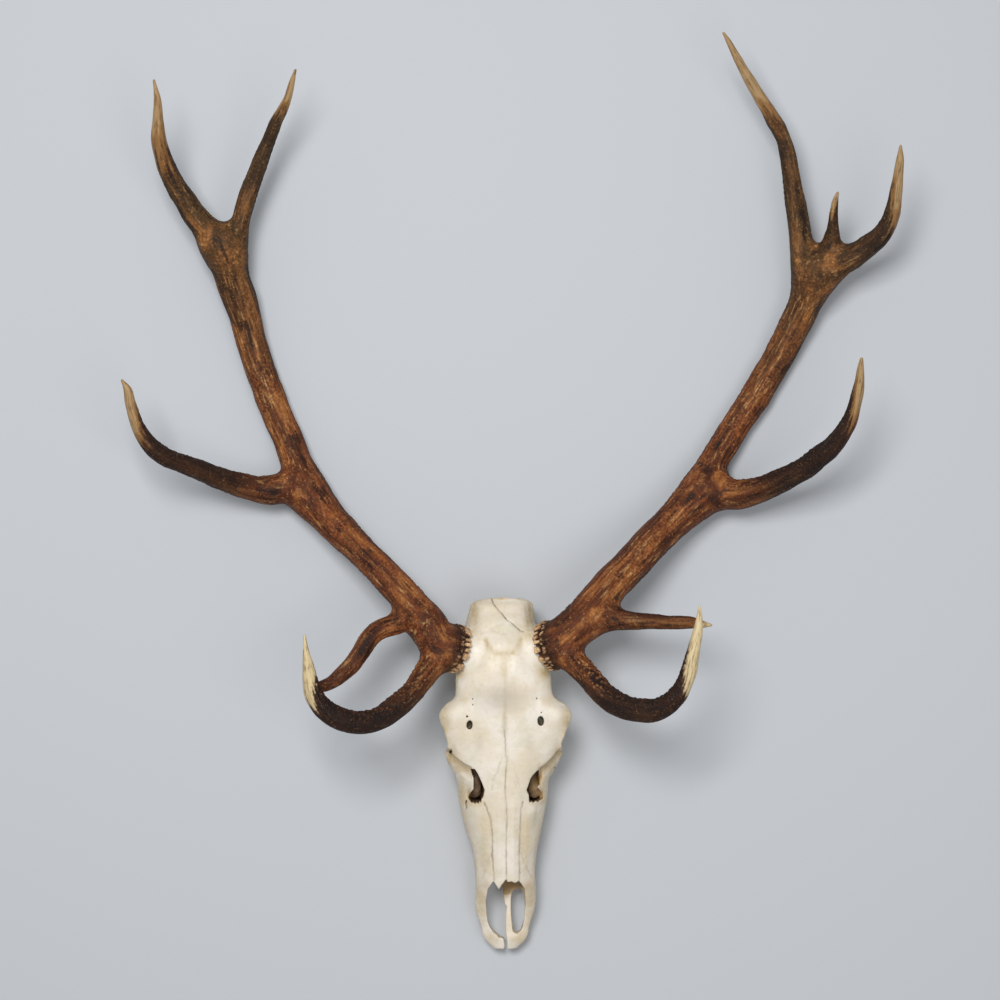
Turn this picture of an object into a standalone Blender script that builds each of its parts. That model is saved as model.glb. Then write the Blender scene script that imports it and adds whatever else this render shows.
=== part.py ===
"""Red deer skull without its lower jaw, with both antlers, lying on its teeth and beams.

The skull rests on its cheek teeth and the antlers on the lowest stretch of their beams.
X points to the right antler, Y to the back of the head and the crowns, Z up from the forehead.
Stations are read from a photograph taken from straight above: (column, row) in a frame of
1000 x 1000 pixels, with a height above the floor in millimetres. ORBIT_WIDTH sets their scale.
"""

import math

import bmesh
import bpy
import numpy as np
from mathutils import Matrix, Vector

MM = 0.001

# Driving sizes in metres
ORBIT_WIDTH = 0.145
CAMERA_HEIGHT = 2.8
FOREHEAD_HEIGHT = 0.1
PIECE_GAP = 0.0003
PREMOLAR_SIZE = (0.0150, 0.0142)
MOLAR_SIZE = (0.0200, 0.0192)
CROWN_HEIGHT = 0.0105
SOCKET_DEPTH = 0.0055
SOCKET_FOOT = -0.005
BURR_RADIUS = 0.029
BURR_HALF_HEIGHT = 0.005
SEAT_DEPTH = 0.03
SEAT_REACH = 1.15
BASE_SAW_DEPTH = 0.06
BASE_SAW_REACH = 1.5
PEDICLE_RADIUS = 0.0195
PEDICLE_LENGTH = 0.042
PEDICLE_FLARE = 1.5
FORAMEN_RADIUS = 0.0040
FORAMEN_DEPTH = 0.008
FORAMEN_CLEARANCE = 0.012
ORBIT_RADII = (0.030, 0.0245, 0.0235)
FORAMEN_MAGNUM_RADIUS = 0.0125
THROAT_RADIUS = 0.011

# The photograph's frame
PHOTO_CENTRE = 500.0
ORBIT_WIDTH_PX = 129.5
MIDLINE_PX = 505.3

# Mesh fineness
VOXEL = 0.0024
TUBE_STEP = 0.004
TUBE_SIDES = 14
SKULL_SIDES = 40
CUTTER_SIDES = 20
TOOTH_SIDES = 10
ROD_SIDES = 16
FORAMEN_SIDES = 12
SEAT_SIDES = 40
SKULL_FACES = 2100
ANTLER_FACES = 1750
SAW_REACH = 1.5
TIP_RADIUS = 0.0026
END_CAP = 0.6
SMOOTH_STEPS = 3
WELD_DISTANCE = 0.0001
SLIVER_LENGTH = 0.00005

# Edges stay sharp from these angles on, in degrees
SKULL_CREASE = 40
TOOTH_CREASE = 35
ANTLER_CREASE = 50

# Skull cross-sections: row, left and right edge; top, widest and lowest height; squareness
SKULL_SECTIONS = (
    (598, 482, 526, 84, 66, 42, 2.4),
    (602, 474, 531, 92, 68, 34, 2.4),
    (612, 468, 534, 99, 68, 32, 2.2),
    (628, 463, 542, 109, 68, 32, 2.2),
    (645, 461, 544, 117, 72, 33, 2.2),
    (662, 459, 547, 120, 76, 35, 2.3),
    (676, 456, 551, 120.5, 86, 37, 2.4),
    (690, 455, 552, 120, 92, 40, 2.5),
    (700, 450, 557, 118.5, 93, 41, 2.6),
    (711, 441, 570, 116, 93, 40, 2.7),
    (730, 443, 567, 111.5, 86, 35, 2.6),
    (745, 446, 562, 107.5, 78, 28, 2.4),
    (760, 448, 557.5, 104, 66, 20, 2.3),
    (775, 455, 550, 100, 54, 13, 2.3),
    (800, 459, 547, 93, 46, 11, 2.2),
    (825, 464.5, 542, 85.5, 42, 11, 2.2),
    (850, 472.5, 537, 78, 40, 13, 2.2),
    (870, 475, 535, 72, 38, 16, 2.2),
    (888, 475.7, 535.8, 64, 36, 18, 2.2),
    (905, 475.2, 535, 47, 32, 18, 2.3),
    (925, 480.6, 529.7, 34, 25, 15, 2.4),
    (940, 486, 524.8, 28, 21, 13, 2.4),
    (948, 494, 516.5, 24, 19, 15, 2.2),
)

# Air passage of the nose, in the same form, and the hollow of the palate
NOSE_SECTIONS = (
    (716, 488, 522, 88, 70, 50, 2.0),
    (745, 474, 537, 96, 66, 40, 2.0),
    (775, 469, 541, 95, 60, 32, 2.0),
    (800, 470, 540, 88, 54, 30, 2.0),
    (850, 481, 529, 73, 48, 29, 2.0),
    (880, 484, 526, 66, 46, 28, 2.0),
    (896, 486, 524, 60, 44, 29, 2.0),
)
PALATE_SECTIONS = (
    (742, 498, 512, 22, 8, -6, 2.0),
    (762, 484, 526, 24, 6, -10, 2.0),
    (800, 484, 526, 23, 6, -10, 2.0),
    (840, 487, 523, 22, 6, -10, 2.0),
    (880, 492, 518, 21, 6, -10, 2.0),
)

# Nasal opening seen from above, and the two gaps that go through to the floor
OPENING_OUTLINE = (
    (506, 879, 66), (502, 884.5, 66), (498.9, 889.6, 66), (493.5, 881, 66), (487.9, 888, 50),
    (486, 900, 42), (486.5, 913, 36), (488, 922, 32), (494.5, 934, 27), (502, 941, 24),
    (512, 938, 24), (517, 934, 26), (522, 928, 30), (524, 919, 34), (525.2, 904, 42),
    (524.6, 888, 50), (519, 881, 66), (512, 882, 66),
)
LEFT_GAP_OUTLINE = (
    (493.4, 880, 30), (488, 888, 30), (486, 900, 30), (486.5, 913, 28), (488, 922, 26),
    (491, 929, 24), (494.5, 934, 24), (500.4, 938, 22), (503.6, 942, 22), (503.6, 954, 22),
    (508.4, 954, 22), (508.4, 941, 22), (505.6, 930, 24), (505.6, 921, 25), (505.8, 913, 26),
    (504.8, 905, 27), (503, 897, 28), (501, 884, 30),
)
RIGHT_GAP_OUTLINE = (
    (519, 880, 30), (524.4, 888, 30), (525.3, 900, 30), (524.8, 911, 28), (523.6, 920, 26),
    (521.4, 928, 25), (516.5, 933, 24), (513, 929, 24), (512, 922, 25), (511.6, 909, 27),
    (511, 897, 28), (512.5, 886, 30),
)

# Openings in front of the eyes, as seen from above
LEFT_TEAR_OPENING = (
    (472.5, 768), (478.4, 774), (482, 781), (485, 790.5), (483, 797), (480.5, 802),
    (476, 804.5), (470, 803), (468.6, 799), (473.6, 790), (473.6, 780),
)
RIGHT_TEAR_OPENING = (
    (540, 768.6), (533.5, 773), (529.5, 780), (526.2, 790), (528.2, 796), (529.8, 803),
    (538, 803.4), (542.5, 800), (541, 793), (537, 787), (540.4, 779),
)
TEAR_OPENING_HEIGHTS = (62, 112)
TEAR_OPENING_LEVEL = 88
OPENING_HEIGHTS = (29, 100)
GAP_HEIGHTS = (-10, 32)
FORAMEN_LEFT = (469.6, 724.6, 107)
FORAMEN_RIGHT = (540.6, 720.4, 108)

# Middle of the eye socket: offset from the midline (mm), row, height (mm)
EYE_MIDDLE = (62, 729, 73)

# Ends of the brain's opening and of the throat on the midline: row, height (mm)
NECK_END = (585, 50)
BRAIN_END = (632, 58)
THROAT_TOP = (722, 62)
THROAT_BOTTOM = (700, 16)

# Parts of the skull given as half-widths from the midline: offset, row, height, radius (mm)
CHEEK_ARCH = (
    (46, 765, 36, 8), (53, 750, 44, 8.5), (58, 730, 47, 6.5), (57, 713, 51, 5.5),
    (51, 700, 55, 5), (45, 688, 59, 5), (41, 676, 61, 6), (36, 664, 62, 8), (30, 655, 62, 10),
)
EYE_BAR = ((62, 707, 95, 4.5), (62.5, 708, 84, 4.2), (61, 709, 70, 4.2), (57, 710, 52, 5.5))
BROW_EDGE = (
    (54, 702.5, 98, 3.8), (62, 707, 97, 3.8), (67, 710.6, 96, 3.8), (66.4, 720, 95, 4.0),
    (65, 734, 94, 4.2), (63.4, 743, 89, 4.6), (61.4, 751, 78, 5.4), (57, 759, 62, 7), (49, 768, 44, 9),
)
TOOTH_ROW_RIDGE = (
    (35, 744, 22, 11), (37.5, 762, 21, 12), (37, 785, 20, 12), (34, 808, 20, 11.5),
    (30, 828, 20, 10), (27, 845, 21, 8),
)
CONDYLE = ((9, 612, 33, 8), (15, 607, 37, 9), (19, 606.5, 46, 8), (20, 611, 54, 6))
NECK_PROCESS = ((24, 616, 54, 9), (27, 617, 40, 7.5), (27, 620, 26, 5), (25, 624, 15, 3.4))
EAR_BULLA = ((24, 634, 38, 7), (22, 646, 34, 8.5), (18, 656, 34, 6))
WING_BONE = ((13, 655, 38, 6), (14, 680, 34, 5), (16, 705, 26, 4.5), (17, 728, 22, 5))

# Antler base: centre of the burr and the direction that the antler leaves it in
LEFT_BURR = (453.5, 648, 100)
RIGHT_BURR = (551, 645.5, 100)
LEFT_BURR_AXIS = (-0.82, 0.28, 0.50)
RIGHT_BURR_AXIS = (0.82, 0.27, 0.50)

# Rings of the burr: height and radius as shares of its half height and radius
BURR_PROFILE = ((-1.6, 0.80), (-1.0, 0.92), (-0.4, 1.0), (0.5, 1.0), (1.2, 0.90), (1.8, 0.78))

# Antler branches: column, row, height (mm), width across (pixels)
LEFT_BRANCHES = {
    "beam": (
        (453.5, 648, 100, 42), (438, 642, 106, 42), (428, 628, 108, 40), (405, 598, 98, 33),
        (389, 579, 88, 31), (367, 556, 74, 30), (346, 536, 58, 32), (327, 516, 44, 35),
        (308, 492, 32, 42), (296, 460, 24, 31), (280, 420, 18, 29.5), (264, 380, 17, 29.4),
        (257, 360, 18, 29.6), (246, 320, 24, 31), (240, 300, 31, 34.5), (233, 280, 40, 34.5),
        (228, 262, 47, 38), (222, 245, 52, 44),
    ),
    "crown_outer": (
        (224, 252, 50, 32), (205, 228, 62, 26), (190.5, 210, 70, 23), (178, 190, 82, 20.5),
        (167.8, 170, 94, 19), (161, 150, 106, 17), (158, 120, 122, 11), (157.5, 100, 131, 7.5),
        (154, 80.5, 138, 3),
    ),
    "crown_inner": (
        (229, 256, 50, 28), (238, 232, 56, 20), (243.3, 210, 60, 18), (250, 190, 64, 17.6),
        (257, 170, 70, 15.5), (269, 140, 82, 13.4), (277, 120, 92, 12), (287, 100, 104, 8.3),
        (292.5, 80, 116, 5.5), (295.5, 70, 122, 3),
    ),
    "trez_tine": (
        (306, 492, 32, 34), (285, 488, 33, 30), (260, 489.6, 40, 26), (240, 484.8, 52, 23.8),
        (220, 478.6, 68, 22), (200, 470.4, 86, 20.3), (180, 463, 104, 18.7), (165, 457, 118, 19),
        (152, 447, 130, 17.5), (143, 435, 138, 15), (135.6, 420, 146, 13), (129.6, 400, 154, 10.4),
        (127.8, 390, 158, 8.7), (122, 380.5, 161, 3),
    ),
    "brow_tine": (
        (446, 650, 105, 32), (437, 660, 112, 28), (423, 677, 128, 24), (412.5, 691.7, 142, 22),
        (397, 706, 158, 23.5), (379, 718.5, 174, 22.5), (356, 722.7, 190, 22.6),
        (331, 714.5, 202, 22), (318.5, 702.5, 208, 19.5), (312, 690, 212, 17.5),
        (308.5, 668, 216, 12), (306.5, 655, 217, 7.5), (304.5, 636, 217, 3),
    ),
    "bez_tine": (
        (424, 624, 106, 34), (408, 618, 100, 26), (395, 624, 104, 22), (380, 630, 112, 20),
        (371, 637, 118, 19.5), (361, 652, 124, 18.5), (351, 666, 129, 17), (340, 676, 134, 15.5),
        (331, 683, 138, 13.5), (320, 687, 142, 11), (312, 689, 146, 3),
    ),
}
RIGHT_BRANCHES = {
    "beam": (
        (551, 645.5, 100, 42), (560, 639, 106, 42), (574, 629, 108, 40), (598, 602, 98, 39),
        (613, 583, 88, 36), (630, 566, 78, 35.4), (645, 549, 67, 35.4), (660, 534, 56, 35),
        (680, 514, 43, 37), (702, 492, 32, 44), (715, 460, 24, 28.5), (727, 440, 21, 28.3),
        (753.6, 400, 17.4, 29.5), (777, 360, 18, 30), (797.3, 320, 26, 31.7), (806, 300, 34, 34),
        (812, 284, 42, 40), (817, 268, 48, 46),
    ),
    "crown_inner": (
        (808, 272, 46, 28), (802, 248, 51, 23), (799.4, 230, 53, 21.4), (794.9, 200, 56, 19.2),
        (790.2, 170, 62, 16.8), (783.7, 140, 70, 15), (773.3, 120, 77, 15.5), (761.4, 100, 86, 13.3),
        (749.5, 80, 96, 11.3), (738.3, 60, 106, 8.7), (727.8, 40, 116, 5), (723.5, 33, 120, 3),
    ),
    "crown_middle": (
        (823, 268, 52, 26), (830, 256, 60, 20), (832, 240, 68, 17), (832.8, 230, 73, 12.5),
        (834.1, 210, 83, 8), (835.5, 200, 88, 6), (837.8, 192.7, 91, 3),
    ),
    "crown_outer": (
        (820, 274, 50, 36), (840, 262, 60, 28), (855, 254.5, 70, 25), (868, 246, 80, 21.5),
        (881, 235, 92, 19.5), (889.5, 222, 102, 17), (894.8, 200, 115, 13.6), (898, 180, 124, 10.8),
        (900, 160, 132, 8), (900.7, 146, 137, 3),
    ),
    "trez_tine": (
        (702, 492, 32, 36), (715, 492, 34, 34), (740, 494.5, 44, 29), (760, 489.7, 58, 25),
        (780, 481.2, 75, 23.5), (800, 471.2, 93, 21.5), (820, 456.4, 112, 21.5), (830, 448.2, 121, 20.5),
        (844.3, 430, 136, 16.5), (853, 410, 149, 13.3), (858.2, 390, 158, 11.8), (860.4, 370, 166, 7.4),
        (861.5, 359, 169, 4),
    ),
    "brow_tine": (
        (560, 646, 105, 32), (568, 655, 112, 28), (584, 672, 128, 24), (595.5, 685, 140, 23.5),
        (608, 698, 153, 24), (622, 706, 166, 24), (640, 710.5, 181, 23), (657.5, 709.5, 194, 21.5),
        (671, 702, 203, 20), (681, 690, 209, 18), (688, 674, 213, 16), (695, 644, 216, 12),
        (698, 630, 217, 9.8), (699.5, 606.7, 217, 3),
    ),
    "bez_tine": (
        (580, 624, 106, 32), (596, 622, 106, 26), (615, 621.5, 112, 19), (630, 621, 117, 17.7),
        (650, 621.5, 124, 15.7), (670, 622.5, 130, 13.8), (690, 622.5, 135, 12.4),
        (703, 624.5, 138, 7.5), (711, 625, 140, 3),
    ),
}

# Saw cuts at the forks: name of the piece beyond the cut, branch, column and row
LEFT_CUTS = (
    ("brow_tine", "brow_tine", 425, 674), ("bez_tine", "bez_tine", 392, 625),
    ("beam_lower", "beam", 398, 590), ("trez_tine", "trez_tine", 263, 489),
    ("beam_upper", "beam", 291, 447), ("crown_outer", "crown_outer", 206, 229),
    ("crown_inner", "crown_inner", 239, 226),
)
RIGHT_CUTS = (
    ("brow_tine", "brow_tine", 583, 671), ("bez_tine", "bez_tine", 622, 621),
    ("beam_lower", "beam", 612, 584), ("trez_tine", "trez_tine", 745, 494),
    ("beam_upper", "beam", 718, 454), ("crown_inner", "crown_inner", 801, 238),
    ("crown_middle", "crown_middle", 832, 235), ("crown_outer", "crown_outer", 857, 253),
)

# Teeth from back to front: name, offset of the middle from the midline (mm)
TOOTH_ROW = (
    ("molar", 3, 37), ("molar", 2, 37), ("molar", 1, 36),
    ("premolar", 3, 32.5), ("premolar", 2, 30.5), ("premolar", 1, 28),
)
TOOTH_ROW_BACK_PX = 751
TOOTH_ROW_LEVEL = 8

# Rings of a tooth: height above the floor and share of its size, then its corners and waist
TOOTH_LEVELS = ((0.0, 0.94), (0.003, 1.0), (CROWN_HEIGHT, 0.92), (CROWN_HEIGHT + SOCKET_DEPTH, 0.86))
CORNER_ROUNDNESS = 0.6
WAIST_DEPTH = 0.10
WAIST_SPREAD = 0.28

# Finishes: base colour, roughness
BONE = ("bone", (0.76, 0.69, 0.57), 0.55)
ENAMEL = ("enamel", (0.72, 0.66, 0.52), 0.35)
ANTLER = ("antler", (0.15, 0.072, 0.034), 0.6)


def pixel_size(height):
    """Metres that one pixel covers at a height in metres."""
    forehead = ORBIT_WIDTH / ORBIT_WIDTH_PX
    return forehead * (CAMERA_HEIGHT - height) / (CAMERA_HEIGHT - FOREHEAD_HEIGHT)


def photo_point(column, row, height_mm):
    """The point seen at a pixel, at a height above the floor."""
    height = height_mm * MM
    size = pixel_size(height)
    return Vector(((column - PHOTO_CENTRE) * size, (PHOTO_CENTRE - row) * size, height))


def midline_point(side, offset_mm, row, height_mm):
    """A point at an offset from the skull's midline, left (-1) or right (1)."""
    point = photo_point(MIDLINE_PX, row, height_mm)
    return point + Vector((side * offset_mm * MM, 0, 0))


def make_material(finish):
    """A Principled material for one finish, shared by the pieces of it."""
    name, colour, roughness = finish
    material = bpy.data.materials.get(name)
    if material is None:
        material = bpy.data.materials.new(name)
        material.use_nodes = True
        shader = material.node_tree.nodes["Principled BSDF"]
        shader.inputs["Base Color"].default_value = (*colour, 1)
        shader.inputs["Roughness"].default_value = roughness
        shader.inputs["Metallic"].default_value = 0
        material.diffuse_color = (*colour, 1)
    return material


def make_object(name, mesh, root=None, finish=None):
    """Link a mesh as an object, parented and with its material."""
    obj = bpy.data.objects.new(name, mesh)
    bpy.context.scene.collection.objects.link(obj)
    obj.parent = root
    if finish:
        mesh.materials.clear()
        mesh.materials.append(make_material(finish))
    return obj


def smooth_path(stations, step):
    """Rows of x, y, z, radius along a curve through the stations, about a step apart."""
    knots = np.array(stations, dtype=float)
    ends = (2 * knots[0] - knots[1], 2 * knots[-1] - knots[-2])
    padded = np.vstack((ends[0], knots, ends[1]))
    rows = []
    for i in range(1, len(padded) - 2):
        before, start, end, after = padded[i - 1:i + 3]
        count = max(1, round(np.linalg.norm(end[:3] - start[:3]) / step))
        for t in np.arange(count) / count:
            bend = (2 * before - 5 * start + 4 * end - after) * t ** 2
            twist = (3 * start - before - 3 * end + after) * t ** 3
            rows.append(start + 0.5 * ((end - before) * t + bend + twist))
    rows.append(knots[-1])
    path = np.array(rows)
    path[:, 3] = np.maximum(path[:, 3], TIP_RADIUS)
    return path


def branch_path(stations):
    """The smooth path of an antler branch, from stations in the photograph."""
    rows = []
    for column, row, height, width in stations:
        point = photo_point(column, row, height)
        rows.append((*point, width / 2 * pixel_size(height * MM)))
    return smooth_path(rows, TUBE_STEP)


def side_path(side, stations):
    """The smooth path of a skull part, from offsets to one side of the midline."""
    rows = [(*midline_point(side, offset, row, height), radius * MM)
            for offset, row, height, radius in stations]
    return smooth_path(rows, TUBE_STEP)


def bridge_rings(bm, rings, first=None, last=None):
    """Join rings of vertices into a closed skin, with a fan or a point at each end."""
    for ring, following in zip(rings, rings[1:]):
        count = len(ring)
        for i in range(count):
            j = (i + 1) % count
            bm.faces.new((ring[i], ring[j], following[j], following[i]))
    for ring, point, flip in ((rings[0], first, True), (rings[-1], last, False)):
        order = list(reversed(ring)) if flip else list(ring)
        if point is None:
            bm.faces.new(order)
            continue
        tip = bm.verts.new(point)
        for i, vertex in enumerate(order):
            bm.faces.new((vertex, order[(i + 1) % len(order)], tip))


def add_tube(bm, path, round_ends=True):
    """Add a closed round tube along rows of x, y, z, radius."""
    centres = [Vector(row[:3]) for row in path]
    radii = [row[3] for row in path]
    side = None
    rings = []
    for i, centre in enumerate(centres):
        along = (centres[min(i + 1, len(centres) - 1)] - centres[max(i - 1, 0)]).normalized()
        if side is None:
            side = along.orthogonal().normalized()
        side = (side - along * side.dot(along)).normalized()
        up = along.cross(side)
        ring = []
        for k in range(TUBE_SIDES):
            angle = 2 * math.pi * k / TUBE_SIDES
            offset = side * math.cos(angle) + up * math.sin(angle)
            ring.append(bm.verts.new(centre + offset * radii[i]))
        rings.append(ring)
    first = last = None
    if round_ends:
        first = centres[0] + (centres[0] - centres[1]).normalized() * radii[0] * END_CAP
        last = centres[-1] + (centres[-1] - centres[-2]).normalized() * radii[-1] * END_CAP
    bridge_rings(bm, rings, first, last)


def add_loft(bm, sections, sides):
    """Add a closed skin through cross-sections given by edges, heights and squareness."""
    rings = []
    for row, left, right, top, widest, bottom, power in sections:
        left_point = photo_point(left, row, widest)
        right_point = photo_point(right, row, widest)
        middle = (left_point + right_point) / 2
        half = (right_point.x - left_point.x) / 2
        ring = []
        for k in range(sides):
            angle = 2 * math.pi * k / sides
            across = math.copysign(abs(math.cos(angle)) ** (2 / power), math.cos(angle))
            rise = math.copysign(abs(math.sin(angle)) ** (2 / power), math.sin(angle))
            tall = top - widest if rise > 0 else widest - bottom
            spot = Vector((half * across, 0, tall * MM * rise))
            ring.append(bm.verts.new(middle + spot))
        rings.append(ring)
    bridge_rings(bm, rings)


def mesh_from(bm, name):
    """Finish a bmesh as a mesh with its faces turned out."""
    bmesh.ops.recalc_face_normals(bm, faces=bm.faces)
    mesh = bpy.data.meshes.new(name)
    bm.to_mesh(mesh)
    bm.free()
    return mesh


def make_cutter(name, bm):
    """An object that only serves to cut others."""
    cutter = make_object(name, mesh_from(bm, name))
    cutter.hide_render = True
    cutter.display_type = "WIRE"
    return cutter


def make_prism(name, outline, low_mm, high_mm):
    """A cutter with straight walls over an outline of (column, row, height)."""
    bm = bmesh.new()
    points = [photo_point(*spot) for spot in outline]
    rings = [[bm.verts.new((p.x, p.y, level * MM)) for p in points] for level in (low_mm, high_mm)]
    bridge_rings(bm, rings)
    return make_cutter(name, bm)


def make_rod(name, start, end, radius, sides=ROD_SIDES):
    """A round cutter between two points."""
    bm = bmesh.new()
    along = end - start
    turn = along.to_track_quat("Z", "Y").to_matrix().to_4x4()
    place = Matrix.Translation((start + end) / 2) @ turn
    bmesh.ops.create_cone(bm, cap_ends=True, segments=sides, radius1=radius, radius2=radius,
                          depth=along.length, matrix=place)
    return make_cutter(name, bm)


def make_ellipsoid(name, centre, radii):
    """A round cutter with three half-axes."""
    bm = bmesh.new()
    place = Matrix.Translation(centre) @ Matrix.Diagonal((*radii, 1))
    bmesh.ops.create_icosphere(bm, subdivisions=2, radius=1, matrix=place)
    return make_cutter(name, bm)


def bake(obj):
    """Replace an object's mesh by the one its modifiers make."""
    depsgraph = bpy.context.evaluated_depsgraph_get()
    mesh = bpy.data.meshes.new_from_object(obj.evaluated_get(depsgraph))
    old = obj.data
    obj.modifiers.clear()
    obj.data = mesh
    bpy.data.meshes.remove(old)


def fuse(obj, faces):
    """Fuse overlapping shells into one smooth skin with about a number of triangles."""
    remesh = obj.modifiers.new("Fuse", "REMESH")
    remesh.mode = "VOXEL"
    remesh.voxel_size = VOXEL
    smooth = obj.modifiers.new("Smooth", "SMOOTH")
    smooth.factor = 0.5
    smooth.iterations = SMOOTH_STEPS
    bake(obj)
    triangles = sum(len(face.vertices) - 2 for face in obj.data.polygons)
    thin = obj.modifiers.new("Thin", "DECIMATE")
    thin.ratio = min(1, faces / triangles)
    bake(obj)


def cut(obj, cutters):
    """Take the cutters away from an object, one after the other."""
    for cutter in cutters:
        boolean = obj.modifiers.new(cutter.name, "BOOLEAN")
        boolean.operation = "DIFFERENCE"
        boolean.solver = "EXACT"
        boolean.object = cutter
        bake(obj)
        bpy.data.objects.remove(cutter)


def weld(obj):
    """Close the hairline edges that cutting leaves."""
    bm = bmesh.new()
    bm.from_mesh(obj.data)
    bmesh.ops.remove_doubles(bm, verts=bm.verts, dist=WELD_DISTANCE)
    bmesh.ops.dissolve_degenerate(bm, edges=bm.edges, dist=SLIVER_LENGTH)
    bmesh.ops.triangulate(bm, faces=bm.faces)
    bm.to_mesh(obj.data)
    bm.free()


def shade(obj, degrees):
    """Shade the round parts smooth and keep edges sharper than an angle."""
    obj.data.shade_smooth()
    obj.data.set_sharp_from_angle(angle=math.radians(degrees))


def build_skull(root, teeth):
    """The skull, with its openings cut and a socket for each tooth."""
    bm = bmesh.new()
    add_loft(bm, SKULL_SECTIONS, SKULL_SIDES)
    for side in (-1, 1):
        for stations in (CHEEK_ARCH, EYE_BAR, BROW_EDGE, TOOTH_ROW_RIDGE,
                         CONDYLE, NECK_PROCESS, EAR_BULLA, WING_BONE):
            add_tube(bm, side_path(side, stations))
    for burr, axis in ((LEFT_BURR, LEFT_BURR_AXIS), (RIGHT_BURR, RIGHT_BURR_AXIS)):
        end = photo_point(*burr)
        start = end - Vector(axis).normalized() * PEDICLE_LENGTH
        path = smooth_path([(*start, PEDICLE_RADIUS * PEDICLE_FLARE), (*end, PEDICLE_RADIUS)], TUBE_STEP)
        add_tube(bm, path, round_ends=False)
    skull = make_object("skull", mesh_from(bm, "skull"), root, BONE)
    fuse(skull, SKULL_FACES)
    cut(skull, skull_cutters(teeth))
    weld(skull)
    shade(skull, SKULL_CREASE)
    return skull


def skull_cutters(teeth):
    """Everything that is cut out of the skull."""
    cutters = []
    for name, sections in (("nose", NOSE_SECTIONS), ("palate", PALATE_SECTIONS)):
        bm = bmesh.new()
        add_loft(bm, sections, CUTTER_SIDES)
        cutters.append(make_cutter(name, bm))
    cutters.append(make_prism("opening", OPENING_OUTLINE, *OPENING_HEIGHTS))
    cutters.append(make_prism("left_gap", LEFT_GAP_OUTLINE, *GAP_HEIGHTS))
    cutters.append(make_prism("right_gap", RIGHT_GAP_OUTLINE, *GAP_HEIGHTS))
    for name, outline in (("left_tear", LEFT_TEAR_OPENING), ("right_tear", RIGHT_TEAR_OPENING)):
        spots = [(column, row, TEAR_OPENING_LEVEL) for column, row in outline]
        cutters.append(make_prism(name, spots, *TEAR_OPENING_HEIGHTS))
    for side, name in ((-1, "left"), (1, "right")):
        eye = midline_point(side, *EYE_MIDDLE)
        cutters.append(make_ellipsoid(f"{name}_orbit", eye, ORBIT_RADII))
    for name, spot in (("left_foramen", FORAMEN_LEFT), ("right_foramen", FORAMEN_RIGHT)):
        top = photo_point(*spot) + Vector((0, 0, FORAMEN_CLEARANCE))
        bottom = photo_point(*spot) - Vector((0, 0, FORAMEN_DEPTH))
        cutters.append(make_rod(name, bottom, top, FORAMEN_RADIUS, FORAMEN_SIDES))
    neck, brain = [midline_point(0, 0, *end) for end in (NECK_END, BRAIN_END)]
    cutters.append(make_rod("foramen_magnum", neck, brain, FORAMEN_MAGNUM_RADIUS))
    throat = [midline_point(0, 0, *end) for end in (THROAT_TOP, THROAT_BOTTOM)]
    cutters.append(make_rod("throat", *throat, THROAT_RADIUS))
    for name, burr, axis in (("left_seat", LEFT_BURR, LEFT_BURR_AXIS),
                             ("right_seat", RIGHT_BURR, RIGHT_BURR_AXIS)):
        out = Vector(axis).normalized()
        start = photo_point(*burr) - out * (BURR_HALF_HEIGHT + PIECE_GAP)
        end = start + out * SEAT_DEPTH
        cutters.append(make_rod(name, start, end, BURR_RADIUS * SEAT_REACH, SEAT_SIDES))
    for tooth in teeth:
        bm = bmesh.new()
        add_tooth_block(bm, tooth["centre"], tooth["size"], PIECE_GAP)
        cutters.append(make_cutter(f"socket_{tooth['name']}", bm))
    return cutters


def add_tooth_block(bm, centre, size, grow):
    """Add a tooth as a block with rounded corners and a waist between its two lobes."""
    width, length = size[0] + 2 * grow, size[1] + 2 * grow
    levels = list(TOOTH_LEVELS)
    if grow:
        levels[0] = (SOCKET_FOOT, 1.0)
        levels[-1] = (levels[-1][0] + grow, levels[-1][1])
    rings = []
    for height, scale in levels:
        ring = []
        for k in range(TOOTH_SIDES):
            angle = 2 * math.pi * (k + 0.5) / TOOTH_SIDES
            across = math.copysign(abs(math.cos(angle)) ** CORNER_ROUNDNESS, math.cos(angle))
            along = math.copysign(abs(math.sin(angle)) ** CORNER_ROUNDNESS, math.sin(angle))
            waist = 1 - WAIST_DEPTH * math.exp(-(along / WAIST_SPREAD) ** 2)
            spot = Vector((across * width / 2 * scale * waist, along * length / 2 * scale, height))
            ring.append(bm.verts.new(Vector((centre.x, centre.y, 0)) + spot))
        rings.append(ring)
    bridge_rings(bm, rings)


def plan_teeth():
    """Name, middle and size of the twelve cheek teeth."""
    teeth = []
    for side, side_name in ((-1, "left"), (1, "right")):
        back = midline_point(side, 0, TOOTH_ROW_BACK_PX, TOOTH_ROW_LEVEL).y
        for kind, number, offset in TOOTH_ROW:
            size = MOLAR_SIZE if kind == "molar" else PREMOLAR_SIZE
            middle = midline_point(side, offset, TOOTH_ROW_BACK_PX, TOOTH_ROW_LEVEL)
            middle.y = back - size[1] / 2
            back -= size[1] + PIECE_GAP
            teeth.append({"name": f"{kind}_{side_name}_{number}", "centre": middle, "size": size})
    return teeth


def build_tooth(root, tooth):
    """One cheek tooth, with its flat worn face on the floor."""
    bm = bmesh.new()
    add_tooth_block(bm, tooth["centre"], tooth["size"], 0)
    obj = make_object(tooth["name"], mesh_from(bm, tooth["name"]), root, ENAMEL)
    shade(obj, TOOTH_CREASE)
    return obj


def add_burr(bm, centre, axis):
    """Add the thick ring round the base of an antler."""
    rows = [(*(centre + axis * BURR_HALF_HEIGHT * level), BURR_RADIUS * width)
            for level, width in BURR_PROFILE]
    add_tube(bm, np.array(rows), round_ends=False)


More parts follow.
